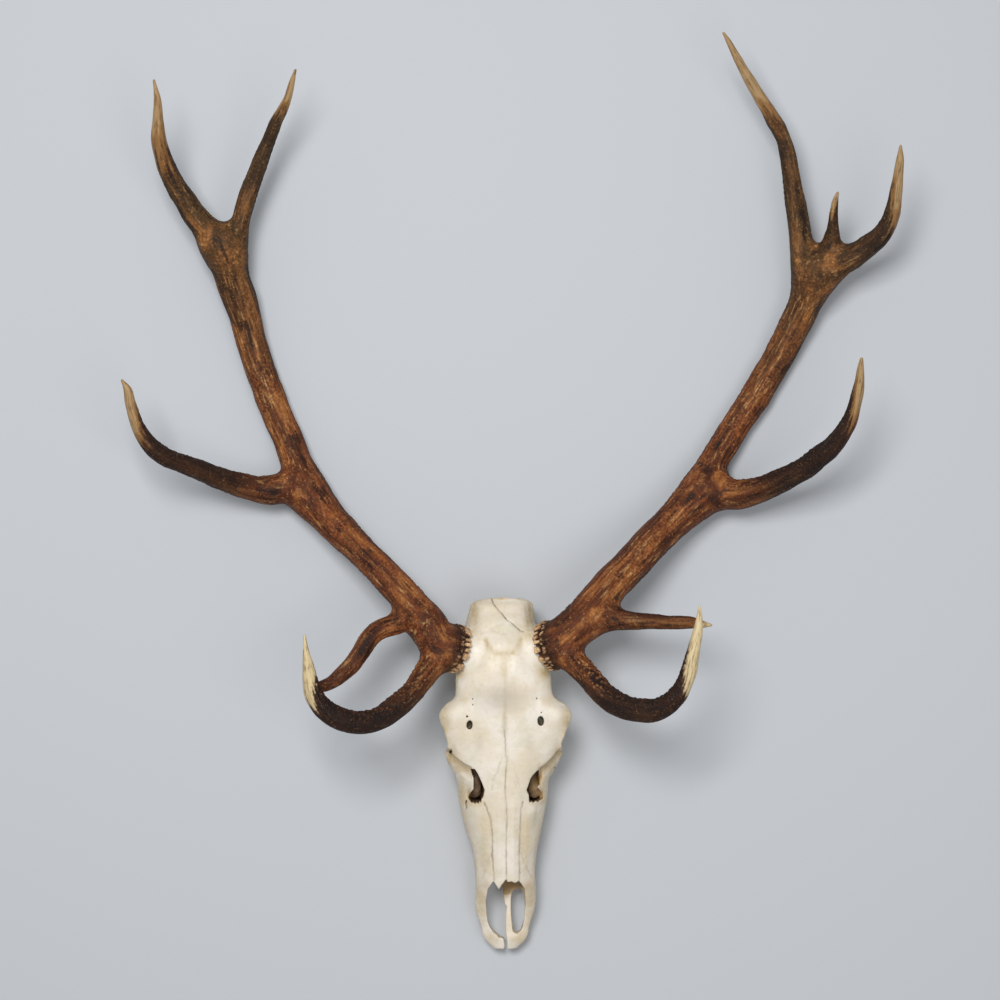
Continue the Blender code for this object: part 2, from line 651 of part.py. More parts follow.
def path_index(path, column, row):
    """Index of the path's point that is seen nearest to a pixel."""
    distances = [(photo_point(column, row, spot[2] / MM) - Vector(spot[:3])).length for spot in path]
    return distances.index(min(distances))


def disc_at(name, path, column, row):
    """A thin round saw across a branch, at the pixel that it is seen at."""
    index = path_index(path, column, row)
    centre = Vector(path[index][:3])
    along = (Vector(path[index + 1][:3]) - Vector(path[index - 1][:3])).normalized()
    half = along * PIECE_GAP / 2
    return make_rod(name, centre - half, centre + half, path[index][3] * SAW_REACH)


def nearest_piece(middle, paths, cuts):
    """Name of the antler piece whose stretch of a branch runs nearest to a point."""
    best = ("", math.inf)
    for branch, path in paths.items():
        starts = [(path_index(path, *spot), name) for name, of, *spot in cuts if of == branch]
        for i, station in enumerate(path):
            beyond = [name for start, name in sorted(starts) if i > start]
            distance = (Vector(station[:3]) - middle).length
            if distance < best[1]:
                best = (beyond[-1] if beyond else "antler_base", distance)
    return best[0]


def build_antler(root, side_name, branches, cuts, burr, axis):
    """One antler, fused from its branches and sawn into pieces at its forks."""
    out = Vector(axis).normalized()
    centre = photo_point(*burr)
    paths = {name: branch_path(stations) for name, stations in branches.items()}
    bm = bmesh.new()
    for path in paths.values():
        add_tube(bm, path)
    add_burr(bm, centre, out)
    antler = make_object("antler", mesh_from(bm, "antler"), root, ANTLER)
    fuse(antler, ANTLER_FACES)
    seat = centre - out * BURR_HALF_HEIGHT
    cutters = [make_rod("seat", seat - out * BASE_SAW_DEPTH, seat, BURR_RADIUS * BASE_SAW_REACH, SEAT_SIDES)]
    cutters += [disc_at(name, paths[branch], column, row) for name, branch, column, row in cuts]
    cut(antler, cutters)
    weld(antler)
    split_antler(root, antler, side_name, paths, cuts)


def split_antler(root, antler, side_name, paths, cuts):
    """Make an object of each loose piece of a sawn antler."""
    bm = bmesh.new()
    bm.from_mesh(antler.data)
    left = set(bm.verts)
    while left:
        start = left.pop()
        island, queue = {start}, [start]
        while queue:
            for edge in queue.pop().link_edges:
                for vertex in edge.verts:
                    if vertex not in island:
                        island.add(vertex)
                        queue.append(vertex)
        left -= island
        middle = sum((v.co for v in island), Vector()) / len(island)
        name = f"{nearest_piece(middle, paths, cuts)}_{side_name}"
        piece = bm.copy()
        keep = {v.index for v in island}
        piece.verts.ensure_lookup_table()
        bmesh.ops.delete(piece, geom=[v for v in piece.verts if v.index not in keep])
        shade(make_object(name, mesh_from(piece, name), root, ANTLER), ANTLER_CREASE)
    bm.free()
    bpy.data.objects.remove(antler)


def centre_on_origin(root):
    """Move the root so that the origin is under the middle of the object."""
    bpy.context.view_layer.update()
    corners = np.array([child.matrix_world @ Vector(corner)
                        for child in root.children for corner in child.bound_box])
    middle = (corners.min(axis=0) + corners.max(axis=0)) / 2
    root.location = (-middle[0], -middle[1], -corners[:, 2].min())


def main():
    """Build the skull, its teeth and both antlers."""
    for obj in list(bpy.data.objects):
        bpy.data.objects.remove(obj)
    root = bpy.data.objects.new("red_deer_skull", None)
    bpy.context.scene.collection.objects.link(root)
    teeth = plan_teeth()
    build_skull(root, teeth)
    for tooth in teeth:
        build_tooth(root, tooth)
    build_antler(root, "left", LEFT_BRANCHES, LEFT_CUTS, LEFT_BURR, LEFT_BURR_AXIS)
    build_antler(root, "right", RIGHT_BRANCHES, RIGHT_CUTS, RIGHT_BURR, RIGHT_BURR_AXIS)
    centre_on_origin(root)


main()
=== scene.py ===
"""Fine model of a red deer skull with both antlers, lying on its teeth and beams.

Each piece is shaped as a field of signed distances, turned into a skin, given its relief and
painted with masks that its material reads. Places come from a photograph taken from straight
above, as (column, row) in a frame of 1000 x 1000 pixels with a height in millimetres.
"""

import logging
import math
from dataclasses import dataclass, field
from enum import Enum
from itertools import product

import bpy
import numpy as np
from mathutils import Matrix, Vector


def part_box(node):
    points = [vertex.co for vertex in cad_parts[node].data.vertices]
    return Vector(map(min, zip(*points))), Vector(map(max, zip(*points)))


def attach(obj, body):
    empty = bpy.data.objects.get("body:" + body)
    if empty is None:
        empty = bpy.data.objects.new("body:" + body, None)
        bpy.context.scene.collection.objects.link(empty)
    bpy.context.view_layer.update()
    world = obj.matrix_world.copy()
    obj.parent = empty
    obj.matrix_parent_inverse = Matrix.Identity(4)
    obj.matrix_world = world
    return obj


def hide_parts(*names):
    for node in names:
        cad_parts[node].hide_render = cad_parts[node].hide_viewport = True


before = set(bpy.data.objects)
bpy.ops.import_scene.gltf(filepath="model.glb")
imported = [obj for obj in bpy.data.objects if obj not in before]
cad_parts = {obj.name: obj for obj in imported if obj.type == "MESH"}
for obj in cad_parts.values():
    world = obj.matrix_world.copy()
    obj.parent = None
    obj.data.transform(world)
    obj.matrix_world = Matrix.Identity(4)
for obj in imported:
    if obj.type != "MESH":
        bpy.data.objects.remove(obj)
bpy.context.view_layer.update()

LOG = logging.getLogger("red_deer_skull")
MM = 0.001
# Distance in metres that counts as far away
FAR = 0.05
# Least divisor
TINY = 1e-12
# Most triangles of a piece
FACE_LIMIT = 198_000
# Corners and edges of a cell
CORNERS = np.array(list(product((0, 1), repeat=3)))
EDGES = [(a, b) for a in range(8) for b in range(8)
         if a < b and abs(CORNERS[a] - CORNERS[b]).sum() == 1]
# Corners of an oval's outline
OVAL_CORNERS = 24
# Cells that a shape's window reaches past it
MARGIN = 3
# Cells after which the noise repeats, and the mask that wraps a cell's number
LATTICE = 256
WRAP = LATTICE - 1

Array = np.ndarray
Pair = tuple[float, float]
Triple = tuple[float, float, float]
Station = tuple[float, float, float, float]


class Side(Enum):
    """Side of the object, as the photograph shows it."""

    LEFT = -1
    RIGHT = 1

    @property
    def word(self) -> str:
        """The side's name in node names."""
        return self.name.lower()


def quick_or(full: float) -> float:
    """Args:
        full: value for the final model.

    Returns:
        The value that applies to this run.
    """
    return full


def ease(low: float, high: float, values: Array) -> Array:
    """Rise smoothly from 0 to 1 between two bounds.

    Args:
        low: value at which the result is 0.
        high: value at which the result is 1.
        values: values to map.

    Returns:
        The eased values.
    """
    t = np.clip((values - low) / (high - low), 0, 1)
    return t * t * (3 - 2 * t)


def smooth_through(at: Array, knots: Array, values: Array) -> Array:
    """Interpolate with a smooth curve that doesn't overshoot.

    Args:
        at: places to interpolate at.
        knots: rising places of the known values.
        values: one row of known values for each knot.

    Returns:
        One row of values for each place.
    """
    steps = np.diff(knots)
    slopes = np.diff(values, axis=0) / steps[:, None]
    tangents = np.zeros_like(values)
    tangents[1:-1] = (slopes[:-1] * steps[1:, None] + slopes[1:] * steps[:-1, None])
    tangents[1:-1] /= (steps[1:] + steps[:-1])[:, None]
    tangents[0], tangents[-1] = slopes[0], slopes[-1]
    cell = np.clip(np.searchsorted(knots, at) - 1, 0, len(knots) - 2)
    step = steps[cell]
    t = np.clip((at - knots[cell]) / step, 0, 1)[:, None]
    start, end = values[cell], values[cell + 1]
    leave, arrive = tangents[cell] * step[:, None], tangents[cell + 1] * step[:, None]
    return (start * (1 + 2 * t) * (1 - t) ** 2 + end * t * t * (3 - 2 * t)
            + leave * t * (1 - t) ** 2 - arrive * t * t * (1 - t))


@dataclass(frozen=True)
class PhotoView:
    """The photograph's view from straight above, in the frame's metres.

    The eye rims set the scale, and two back teeth tell where the frame's origin lies.
    """

    eye_width: float = 0.145
    eye_width_px: float = 129.5
    camera_height: float = 2.8
    forehead_height: float = 0.1
    centre: float = 500.0
    midline: float = 505.3
    tooth_row_back: float = 751.0
    tooth_level: float = 0.008
    narrow_rows: Pair = (736, 760)
    narrow_share: float = 0.055
    origin: Pair = (0.0, 0.0)

    @classmethod
    def from_frame(cls) -> "PhotoView":
        """The view, with the frame's origin found from the last molars."""
        plain = cls()
        low_left, high_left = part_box("molar_left_3")
        low_right, high_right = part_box("molar_right_3")
        middle = (low_left[0] + high_left[0] + low_right[0] + high_right[0]) / 4
        back = (high_left[1] + high_right[1]) / 2
        size = plain.pixel_size(plain.tooth_level)
        design_x = (plain.midline - plain.centre) * size
        design_y = (plain.centre - plain.tooth_row_back) * size
        return cls(origin=(design_x - middle, design_y - back))

    def pixel_size(self, height):
        """Metres covered by a pixel at a height in metres."""
        forehead = self.eye_width / self.eye_width_px
        return forehead * (self.camera_height - height) / (self.camera_height - self.forehead_height)

    def points(self, places: Array) -> Array:
        """Turn rows of column, row, height (mm) into points.

        Args:
            places: one row for each point.

        Returns:
            Points in metres.
        """
        places = np.asarray(places, dtype=float)
        height = places[:, 2] * MM
        size = self.pixel_size(height)
        x = (places[:, 0] - self.centre) * size - self.origin[0]
        y = (self.centre - places[:, 1]) * size - self.origin[1]
        return np.stack((x, y, height), axis=1)

    def point(self, column: float, row: float, height: float) -> Array:
        """The point seen at a pixel, at a height in millimetres."""
        return self.points([(column, row, height)])[0]

    def pixels(self, points: Array) -> Array:
        """Turn points into the columns and rows that they are seen at.

        Args:
            points: points in metres.

        Returns:
            One column and row for each point.
        """
        size = self.pixel_size(points[:, 2])
        column = (points[:, 0] + self.origin[0]) / size + self.centre
        row = self.centre - (points[:, 1] + self.origin[1]) / size
        return np.stack((column, row), axis=1)

    def path(self, stations: tuple[Station, ...], step: float) -> Array:
        """A smooth path through stations of column, row, height (mm) and width in pixels.

        Args:
            stations: the branch's stations from its root to its tip.
            step: distance between the path's points in metres.

        Returns:
            Rows of x, y, z and radius.
        """
        knots = np.array(stations, dtype=float)
        radius = knots[:, 3] / 2 * self.pixel_size(knots[:, 2] * MM)
        return smooth_path(np.column_stack((self.points(knots), radius)), step)

    def side_path(self, side: Side, stations: tuple[Station, ...], step: float) -> Array:
        """A smooth path beside the midline; the right cheek is a little narrower.

        Args:
            side: side of the skull.
            stations: offset from the midline (mm), row, height (mm) and radius (mm).
            step: distance between the path's points in metres.

        Returns:
            Rows of x, y, z and radius.
        """
        knots = np.array(stations, dtype=float)
        spots = self.points([(self.midline, row, height) for _, row, height, _ in stations])
        narrow = self.narrow_share * ease(*self.narrow_rows, knots[:, 1]) if side is Side.RIGHT else 0
        spots[:, 0] += side.value * knots[:, 0] * (1 - narrow) * MM
        return smooth_path(np.column_stack((spots, knots[:, 3] * MM)), step)


def smooth_path(knots: Array, step: float) -> Array:
    """Rows along a smooth curve through rows of x, y, z, radius.

    Args:
        knots: the rows that the curve passes through.
        step: rough distance between the results.

    Returns:
        Rows of x, y, z, radius.
    """
    lengths = np.linalg.norm(np.diff(knots[:, :3], axis=0), axis=1)
    along = np.concatenate(([0], np.cumsum(lengths)))
    count = max(3, int(along[-1] / step) + 1)
    return smooth_through(np.linspace(0, along[-1], count), along, knots)


class Noise:
    """Smooth and cellular noise in space, the same on each run."""

    def __init__(self, seed: int) -> None:
        """Draw the lattice's slopes and jitters from a seed."""
        rng = np.random.default_rng(seed)
        slopes = rng.normal(size=(LATTICE, 3))
        self.slopes = (slopes / np.linalg.norm(slopes, axis=1)[:, None]).astype(np.float32)
        self.jitter = rng.random((LATTICE, 3)).astype(np.float32)
        self.order = rng.permutation(LATTICE)

    def _pick(self, cells: Array) -> Array:
        """A number from 0 to 255 for each lattice cell."""
        x, y, z = (cells & WRAP).T
        return self.order[(self.order[(self.order[x] + y) & WRAP] + z) & WRAP]

    def smooth(self, points: Array) -> Array:
        """Smooth noise from about -1 to 1, with features one unit across."""
        cells = np.floor(points).astype(np.int64)
        inner = (points - cells).astype(np.float32)
        fade = inner ** 3 * (inner * (inner * 6 - 15) + 10)
        total = np.zeros(len(points), dtype=np.float32)
        for corner in CORNERS:
            slope = self.slopes[self._pick(cells + corner)]
            weight = np.prod(np.where(corner, fade, 1 - fade), axis=1)
            total += weight * np.einsum("ij,ij->i", slope, inner - corner)
        return total * 1.6

    def rough(self, points: Array, octaves: int = 3) -> Array:
        """Smooth noise with finer and weaker copies added."""
        return sum(self.smooth(points * 2 ** k + 17 * k) / 2 ** k for k in range(octaves))

    def ridges(self, points: Array) -> Array:
        """Noise from 0 to 1 with sharp crests."""
        return 1 - np.clip(np.abs(self.smooth(points)) * 2.2, 0, 1)

    def domes(self, points: Array, radius: float) -> Array:
        """Heights from 0 to 1 of round domes, one in each unit cell.

        Args:
            points: where to measure, in cells.
            radius: the domes' radius in cells.

        Returns:
            The height of the highest dome at each point.
        """
        cells = np.floor(points).astype(np.int64)
        best = np.zeros(len(points), dtype=np.float32)
        for step in product((-1, 0, 1), repeat=3):
            near = cells + step
            pick = self._pick(near)
            centre = near + 0.15 + 0.7 * self.jitter[pick]
            size = radius * (0.65 + 0.5 * self.jitter[(pick + 7) & WRAP, 0])
            gap = np.sum((points - centre) ** 2, axis=1) / size ** 2
            best = np.maximum(best, np.clip(1 - gap, 0, 1))
        return np.sqrt(best)


def blend_union(first: Array, second: Array, soft: float) -> Array:
    """Join two fields with a fillet of a size in metres."""
    if soft <= 0:
        return np.minimum(first, second)
    h = np.clip(0.5 + 0.5 * (second - first) / soft, 0, 1)
    return second + (first - second) * h - soft * h * (1 - h)


class Field:
    """A block of space whose cells hold signed distances, negative inside."""

    def __init__(self, low: Array, high: Array, cell: float) -> None:
        """Start with empty space.

        Args:
            low: the block's lowest corner.
            high: the block's highest corner.
            cell: size of a cell in metres.
        """
        self.cell = cell
        self.low = np.asarray(low, dtype=float)
        count = np.ceil((np.asarray(high) - self.low) / cell).astype(int) + 1
        self.values = np.full(count, FAR, dtype=np.float32)

    def window(self, low: Array, high: Array):
        """The part of the block between two corners.

        Args:
            low: lowest corner.
            high: highest corner.

        Returns:
            Slices of the block, and its x, y and z as arrays that broadcast.
        """
        count = np.array(self.values.shape)
        first = np.clip(np.floor((low - self.low) / self.cell).astype(int), 0, count - 1)
        last = np.clip(np.ceil((high - self.low) / self.cell).astype(int) + 1, first + 1, count)
        slices = tuple(slice(a, b) for a, b in zip(first, last))
        axes = [(self.low[i] + self.cell * np.arange(first[i], last[i])).astype(np.float32)
                for i in range(3)]
        return slices, np.meshgrid(*axes, indexing="ij", sparse=True)

    def tube(self, path: Array, soft: float = 0.0, carve: bool = False) -> None:
        """Merge or carve a round tube.

        Args:
            path: rows of x, y, z, radius.
            soft: size of the fillet in metres.
            carve: take the tube away instead of adding it.
        """
        margin = soft + MARGIN * self.cell
        reach = path[:, 3:].max() + margin
        low, high = path[:, :3].min(axis=0) - reach, path[:, :3].max(axis=0) + reach
        whole, _ = self.window(low, high)
        local = np.full(self.values[whole].shape, FAR, dtype=np.float32)
        start = np.array([s.start for s in whole])
        for a, b in zip(path[:-1], path[1:]):
            around = max(a[3], b[3]) + margin
            part, (x, y, z) = self.window(np.minimum(a, b)[:3] - around, np.maximum(a, b)[:3] + around)
            inner = tuple(slice(s.start - o, s.stop - o) for s, o in zip(part, start))
            run = (b - a)[:3]
            length = max(float(run @ run), TINY)
            t = ((x - a[0]) * run[0] + (y - a[1]) * run[1] + (z - a[2]) * run[2]) / length
            t = np.clip(t, 0, 1)
            gap = (x - a[0] - t * run[0]) ** 2 + (y - a[1] - t * run[1]) ** 2
            gap = np.sqrt(gap + (z - a[2] - t * run[2]) ** 2) - (a[3] + t * (b[3] - a[3]))
            local[inner] = np.minimum(local[inner], gap)
        self.apply(whole, local, soft, carve)

    def apply(self, part, local: Array, soft: float, carve: bool) -> None:
        """Merge a local field into the block, or carve it out."""
        local = np.asarray(local, dtype=np.float32)
        if carve:
            self.values[part] = -blend_union(-self.values[part], local, soft)
        else:
            self.values[part] = blend_union(self.values[part], local, soft)

    def ellipsoid(self, centre: Array, radii, soft: float = 0.0, carve: bool = False) -> None:
        """Merge or carve an ellipsoid with its axes along the frame's.

        Args:
            centre: its middle.
            radii: its three half-axes.
            soft: size of the fillet in metres.
            carve: take it away instead of adding it.
        """
        radii = np.asarray(radii, dtype=float)
        margin = radii + soft + MARGIN * self.cell
        part, (x, y, z) = self.window(centre - margin, centre + margin)
        near = ((x - centre[0]) / radii[0]) ** 2 + ((y - centre[1]) / radii[1]) ** 2
        near = np.sqrt(near + ((z - centre[2]) / radii[2]) ** 2) + 1e-6
        slope = ((x - centre[0]) / radii[0] ** 2) ** 2 + ((y - centre[1]) / radii[1] ** 2) ** 2
        slope = np.sqrt(slope + ((z - centre[2]) / radii[2] ** 2) ** 2) + 1e-6
        self.apply(part, near * (near - 1) / slope, soft, carve)

    def prism(self, outline: Array, low: float, high: float, soft: float = 0.0,
              carve: bool = True) -> None:
        """Merge or carve a prism with upright walls.

        Args:
            outline: corners as x, y.
            low: its lower end.
            high: its upper end.
            soft: size of the fillet in metres.
            carve: take it away instead of adding it.
        """
        margin = soft + MARGIN * self.cell
        corner_low = np.array((*outline.min(axis=0), low)) - margin
        corner_high = np.array((*outline.max(axis=0), high)) + margin
        part, (x, y, z) = self.window(corner_low, corner_high)
        flat = polygon_distance(np.broadcast_arrays(x[:, :, 0], y[:, :, 0]), outline)
        tall = np.abs(z - (low + high) / 2) - (high - low) / 2
        self.apply(part, np.maximum(flat[:, :, None], tall), soft, carve)

    def loft(self, sections: Array, soft: float = 0.0, carve: bool = False) -> None:
        """Merge or carve a body with rounded cross-sections across Y.

        Args:
            sections: rows of y, left x, right x, top, widest and lowest z, and squareness.
            soft: size of the fillet in metres.
            carve: take it away instead of adding it.
        """
        margin = soft + MARGIN * self.cell
        low = np.array((sections[:, 1].min(), sections[:, 0].min(), sections[:, 5].min())) - margin
        high = np.array((sections[:, 2].max(), sections[:, 0].max(), sections[:, 3].max())) + margin
        part, (x, y, z) = self.window(low, high)
        order = np.argsort(sections[:, 0])
        rows = smooth_through(y.ravel().astype(float), sections[order, 0], sections[order, 1:])
        left, right, top, widest, lowest, power = (rows[:, i].astype(np.float32)[None, :, None]
                                                   for i in range(6))
        half = np.maximum((right - left) / 2, 1e-4)
        across = np.abs(x - (left + right) / 2)
        rise = z - widest
        tall = np.maximum(np.where(rise > 0, top - widest, widest - lowest), 1e-4)
        rise = np.abs(rise)
        inner = ((across / half) ** power + (rise / tall) ** power) ** (1 / power) + 1e-4
        reach = np.sqrt(across ** 2 + rise ** 2) + 1e-4
        gap = reach * (1 - 1 / inner)
        ends = np.maximum(sections[:, 0].min() - y, y - sections[:, 0].max())
        self.apply(part, np.maximum(gap, ends), soft, carve)

    def cut_flat(self, centre: Array, direction: Array, level: float, radius: float) -> None:
        """Carve away what lies beyond a plane, within a ball.

        Args:
            centre: middle of the ball.
            direction: unit vector that the carving goes in.
            level: distance from the centre to the plane.
            radius: the ball's radius.
        """
        part, (x, y, z) = self.window(centre - radius, centre + radius)
        x, y, z = x - centre[0], y - centre[1], z - centre[2]
        beyond = level - x * direction[0] - y * direction[1] - z * direction[2]
        cut = np.maximum(beyond, np.sqrt(x ** 2 + y ** 2 + z ** 2) - radius)
        self.apply(part, cut, 0.0, True)

    def skin(self) -> tuple[Array, Array]:
        """The surface between inside and outside, by surface nets.

        Returns:
            Vertices, and quads as rows of four vertex numbers.
        """
        inside = self.values < 0
        size = np.array(inside.shape) - 1
        spans = [tuple(slice(c[i], c[i] + size[i]) for i in range(3)) for c in CORNERS]
        some = np.zeros(size, dtype=bool)
        every = np.ones(size, dtype=bool)
        for span in spans:
            some |= inside[span]
            every &= inside[span]
        mixed = some & ~every
        cells = np.argwhere(mixed)
        numbers = np.full(mixed.shape, -1, dtype=np.int32)
        numbers[mixed] = np.arange(len(cells))
        at = [self.values[tuple((cells + c).T)] for c in CORNERS]
        total = np.zeros((len(cells), 3))
        hits = np.zeros(len(cells))
        for a, b in EDGES:
            crossing = (at[a] < 0) != (at[b] < 0)
            t = np.where(crossing, at[a] / np.where(crossing, at[a] - at[b], 1), 0)
            spot = CORNERS[a] + t[:, None] * (CORNERS[b] - CORNERS[a])
            total += np.where(crossing[:, None], spot, 0)
            hits += crossing
        vertices = self.low + self.cell * (cells + total / hits[:, None])
        return vertices, self._quads(inside, numbers)

    @staticmethod
    def _quads(inside: Array, numbers: Array) -> Array:
        """Quads round each lattice edge that the surface crosses."""
        quads = []
        for axis in range(3):
            second, third = np.eye(3, dtype=int)[[(axis + 1) % 3, (axis + 2) % 3]]
            ahead = np.eye(3, dtype=int)[axis]
            stop = np.array(inside.shape) - 1
            here = tuple(slice(1 if i != axis else 0, stop[i]) for i in range(3))
            there = tuple(slice(s.start + ahead[i], s.stop + ahead[i]) for i, s in enumerate(here))
            cross = np.argwhere(inside[here] != inside[there]) + [s.start for s in here]
            ring = [numbers[tuple((cross - o).T)] for o in (second + third, third, 0 * third, second)]
            quad = np.stack(ring, axis=1)
            flip = ~inside[tuple(cross.T)]
            quad[flip] = quad[flip][:, ::-1]
            quads.append(quad)
        return np.concatenate(quads)


def polygon_distance(plane, outline: Array) -> Array:
    """Signed distance in the plane to a closed outline, negative inside.

    Args:
        plane: the places' x and y arrays.
        outline: corners as x, y.

    Returns:
        Distances, in the shape of the places.
    """
    x, y = plane
    nearest = np.full(x.shape, np.inf)
    inside = np.zeros(x.shape, dtype=bool)
    for (ax, ay), (bx, by) in zip(outline, np.roll(outline, -1, axis=0)):
        run_x, run_y = bx - ax, by - ay
        t = ((x - ax) * run_x + (y - ay) * run_y) / max(run_x ** 2 + run_y ** 2, TINY)
        t = np.clip(t, 0, 1)
        nearest = np.minimum(nearest, (x - ax - t * run_x) ** 2 + (y - ay - t * run_y) ** 2)
        if by != ay:
            spans = (ay > y) != (by > y)
            inside ^= spans & (x < ax + (y - ay) * run_x / run_y)
    return np.where(inside, -1, 1) * np.sqrt(nearest)


def oval(column: float, row: float, wide: float, tall: float, tilt: float) -> Array:
    """A tilted oval in the photograph.

    Args:
        column: its middle's column.
        row: its middle's row.
        wide: its half width in pixels.
        tall: its half height in pixels.
        tilt: how far its top leans to the right, in degrees.

    Returns:
        Columns and rows of its corners.
    """
    angle = np.linspace(0, math.tau, OVAL_CORNERS, endpoint=False)
    x, y = wide * np.cos(angle), tall * np.sin(angle)
    lean = math.radians(tilt)
    return np.column_stack((column + x * math.cos(lean) + y * math.sin(lean),
                            row + x * math.sin(lean) - y * math.cos(lean)))


def line_distance(places: Array, line: Array) -> Array:
    """Distance of each place to an open line, in the line's units."""
    best = np.full(len(places), np.inf)
    for a, b in zip(line[:-1], line[1:]):
        run = b - a
        t = np.clip(((places - a) @ run) / max(run @ run, TINY), 0, 1)
        best = np.minimum(best, np.sum((places - a - t[:, None] * run) ** 2, axis=1))
    return np.sqrt(best)


def relax(vertices: Array, quads: Array, passes: int) -> Array:
    """Even out a skin without shrinking it.

    Args:
        vertices: the skin's points.
        quads: its quads.
        passes: number of double steps.

    Returns:
        Moved points.
    """
    pairs = np.concatenate([quads[:, [i, (i + 1) % 4]] for i in range(4)])
    count = np.bincount(pairs[:, 0], minlength=len(vertices))
    count = np.maximum(count + np.bincount(pairs[:, 1], minlength=len(vertices)), 1)
    shrink, swell = 0.5, -0.52
    for factor in (shrink, swell) * passes:
        mean = np.empty_like(vertices)
        for axis in range(3):
            total = np.bincount(pairs[:, 0], vertices[pairs[:, 1], axis], len(vertices))
            total += np.bincount(pairs[:, 1], vertices[pairs[:, 0], axis], len(vertices))
            mean[:, axis] = total / count
        vertices = vertices + factor * (mean - vertices)
    return vertices


def make_mesh(name: str, vertices: Array, quads: Array) -> bpy.types.Object:
    """Link a new mesh object at the frame's origin.

    Args:
        name: the object's name.
        vertices: its points.
        quads: its quads.

    Returns:
        The object.
    """
    mesh = bpy.data.meshes.new(name)
    mesh.vertices.add(len(vertices))
    mesh.vertices.foreach_set("co", vertices.astype(np.float32).ravel())
    mesh.loops.add(quads.size)
    mesh.loops.foreach_set("vertex_index", quads.astype(np.int32).ravel())
    mesh.polygons.add(len(quads))
    mesh.polygons.foreach_set("loop_start", np.arange(0, quads.size, 4, dtype=np.int32))
    mesh.update(calc_edges=True)
    mesh.validate()
    obj = bpy.data.objects.new(name, mesh)
    bpy.context.scene.collection.objects.link(obj)
    return obj


def mesh_points(mesh: bpy.types.Mesh) -> tuple[Array, Array]:
    """A mesh's points and their normals."""
    points = np.empty(len(mesh.vertices) * 3, dtype=np.float32)
    normals = np.empty_like(points)
    mesh.vertices.foreach_get("co", points)
    mesh.vertex_normals.foreach_get("vector", normals)
    return points.reshape(-1, 3).astype(float), normals.reshape(-1, 3).astype(float)


def move_points(mesh: bpy.types.Mesh, points: Array) -> None:
    """Give a mesh new points."""
    mesh.vertices.foreach_set("co", points.astype(np.float32).ravel())
    mesh.update()


def above_floor(points: Array, clearance: float = 0.0004, soft: float = 0.003) -> Array:
    """Press the lowest points flat so that nothing reaches through the floor.

    Args:
        points: the points.
        clearance: height that stays free.
        soft: height over which the pressing fades out.

    Returns:
        Pressed points.
    """
    pressed = points.copy()
    height = (points[:, 2] - clearance) / soft
    pressed[:, 2] = clearance + soft * np.log1p(np.exp(np.clip(height, -30, 30) * 2)) / 2
    return np.where((height < 3)[:, None], pressed, points)


def thin_out(obj: bpy.types.Object, faces: int) -> None:
    """Bring a piece under a number of triangles, keeping its fine relief.

    Args:
        obj: the piece.
        faces: the most triangles that it may have.
    """
    triangles = sum(len(face.vertices) - 2 for face in obj.data.polygons)
    if triangles > faces:
        thin = obj.modifiers.new("Thin", "DECIMATE")
        thin.ratio = faces / triangles
        depsgraph = bpy.context.evaluated_depsgraph_get()
        mesh = bpy.data.meshes.new_from_object(obj.evaluated_get(depsgraph))
        old = obj.data
        obj.modifiers.clear()
        obj.data = mesh
        bpy.data.meshes.remove(old)
    obj.data.shade_smooth()


def paint(mesh: bpy.types.Mesh, masks: dict[str, Array]) -> None:
    """Store masks or vectors of each point, for the material to read.

    Args:
        mesh: the mesh.
        masks: by name, one number or one row of three numbers for each point.
    """
    for name, values in masks.items():
        kind, key = ("FLOAT", "value") if values.ndim == 1 else ("FLOAT_VECTOR", "vector")
        layer = mesh.attributes.new(name, kind, "POINT")
        layer.data.foreach_set(key, values.astype(np.float32).ravel())


def linear(colour: str) -> tuple[float, float, float, float]:
    """Turn an sRGB hex colour into the linear values that shaders use.

    Args:
        colour: six hex digits.

    Returns:
        Red, green, blue and alpha.
    """
    parts = (int(colour[i:i + 2], 16) / 255 for i in (0, 2, 4))
    return (*(c / 12.92 if c <= 0.04045 else ((c + 0.055) / 1.055) ** 2.4 for c in parts), 1.0)


def add_node(tree, kind: str, inputs: dict | None = None, stops=None, **settings):
    """Add a shader node.

    Args:
        tree: the material's tree.
        kind: the node's type.
        inputs: values or sockets to link, by input name or number.
        stops: places and colours of a colour ramp.
        settings: the node's own properties.

    Returns:
        The node.
    """
    node = tree.nodes.new(kind)
    for name, value in settings.items():
        setattr(node, name, value)
    for key, value in (inputs or {}).items():
        if isinstance(value, bpy.types.NodeSocket):
            tree.links.new(value, node.inputs[key])
        else:
            node.inputs[key].default_value = value
    if stops:
        ramp = node.color_ramp
        while len(ramp.elements) < len(stops):
            ramp.elements.new(0.5)
        for element, (place, colour) in zip(ramp.elements, stops):
            element.position = place
            element.color = linear(colour)
    return node


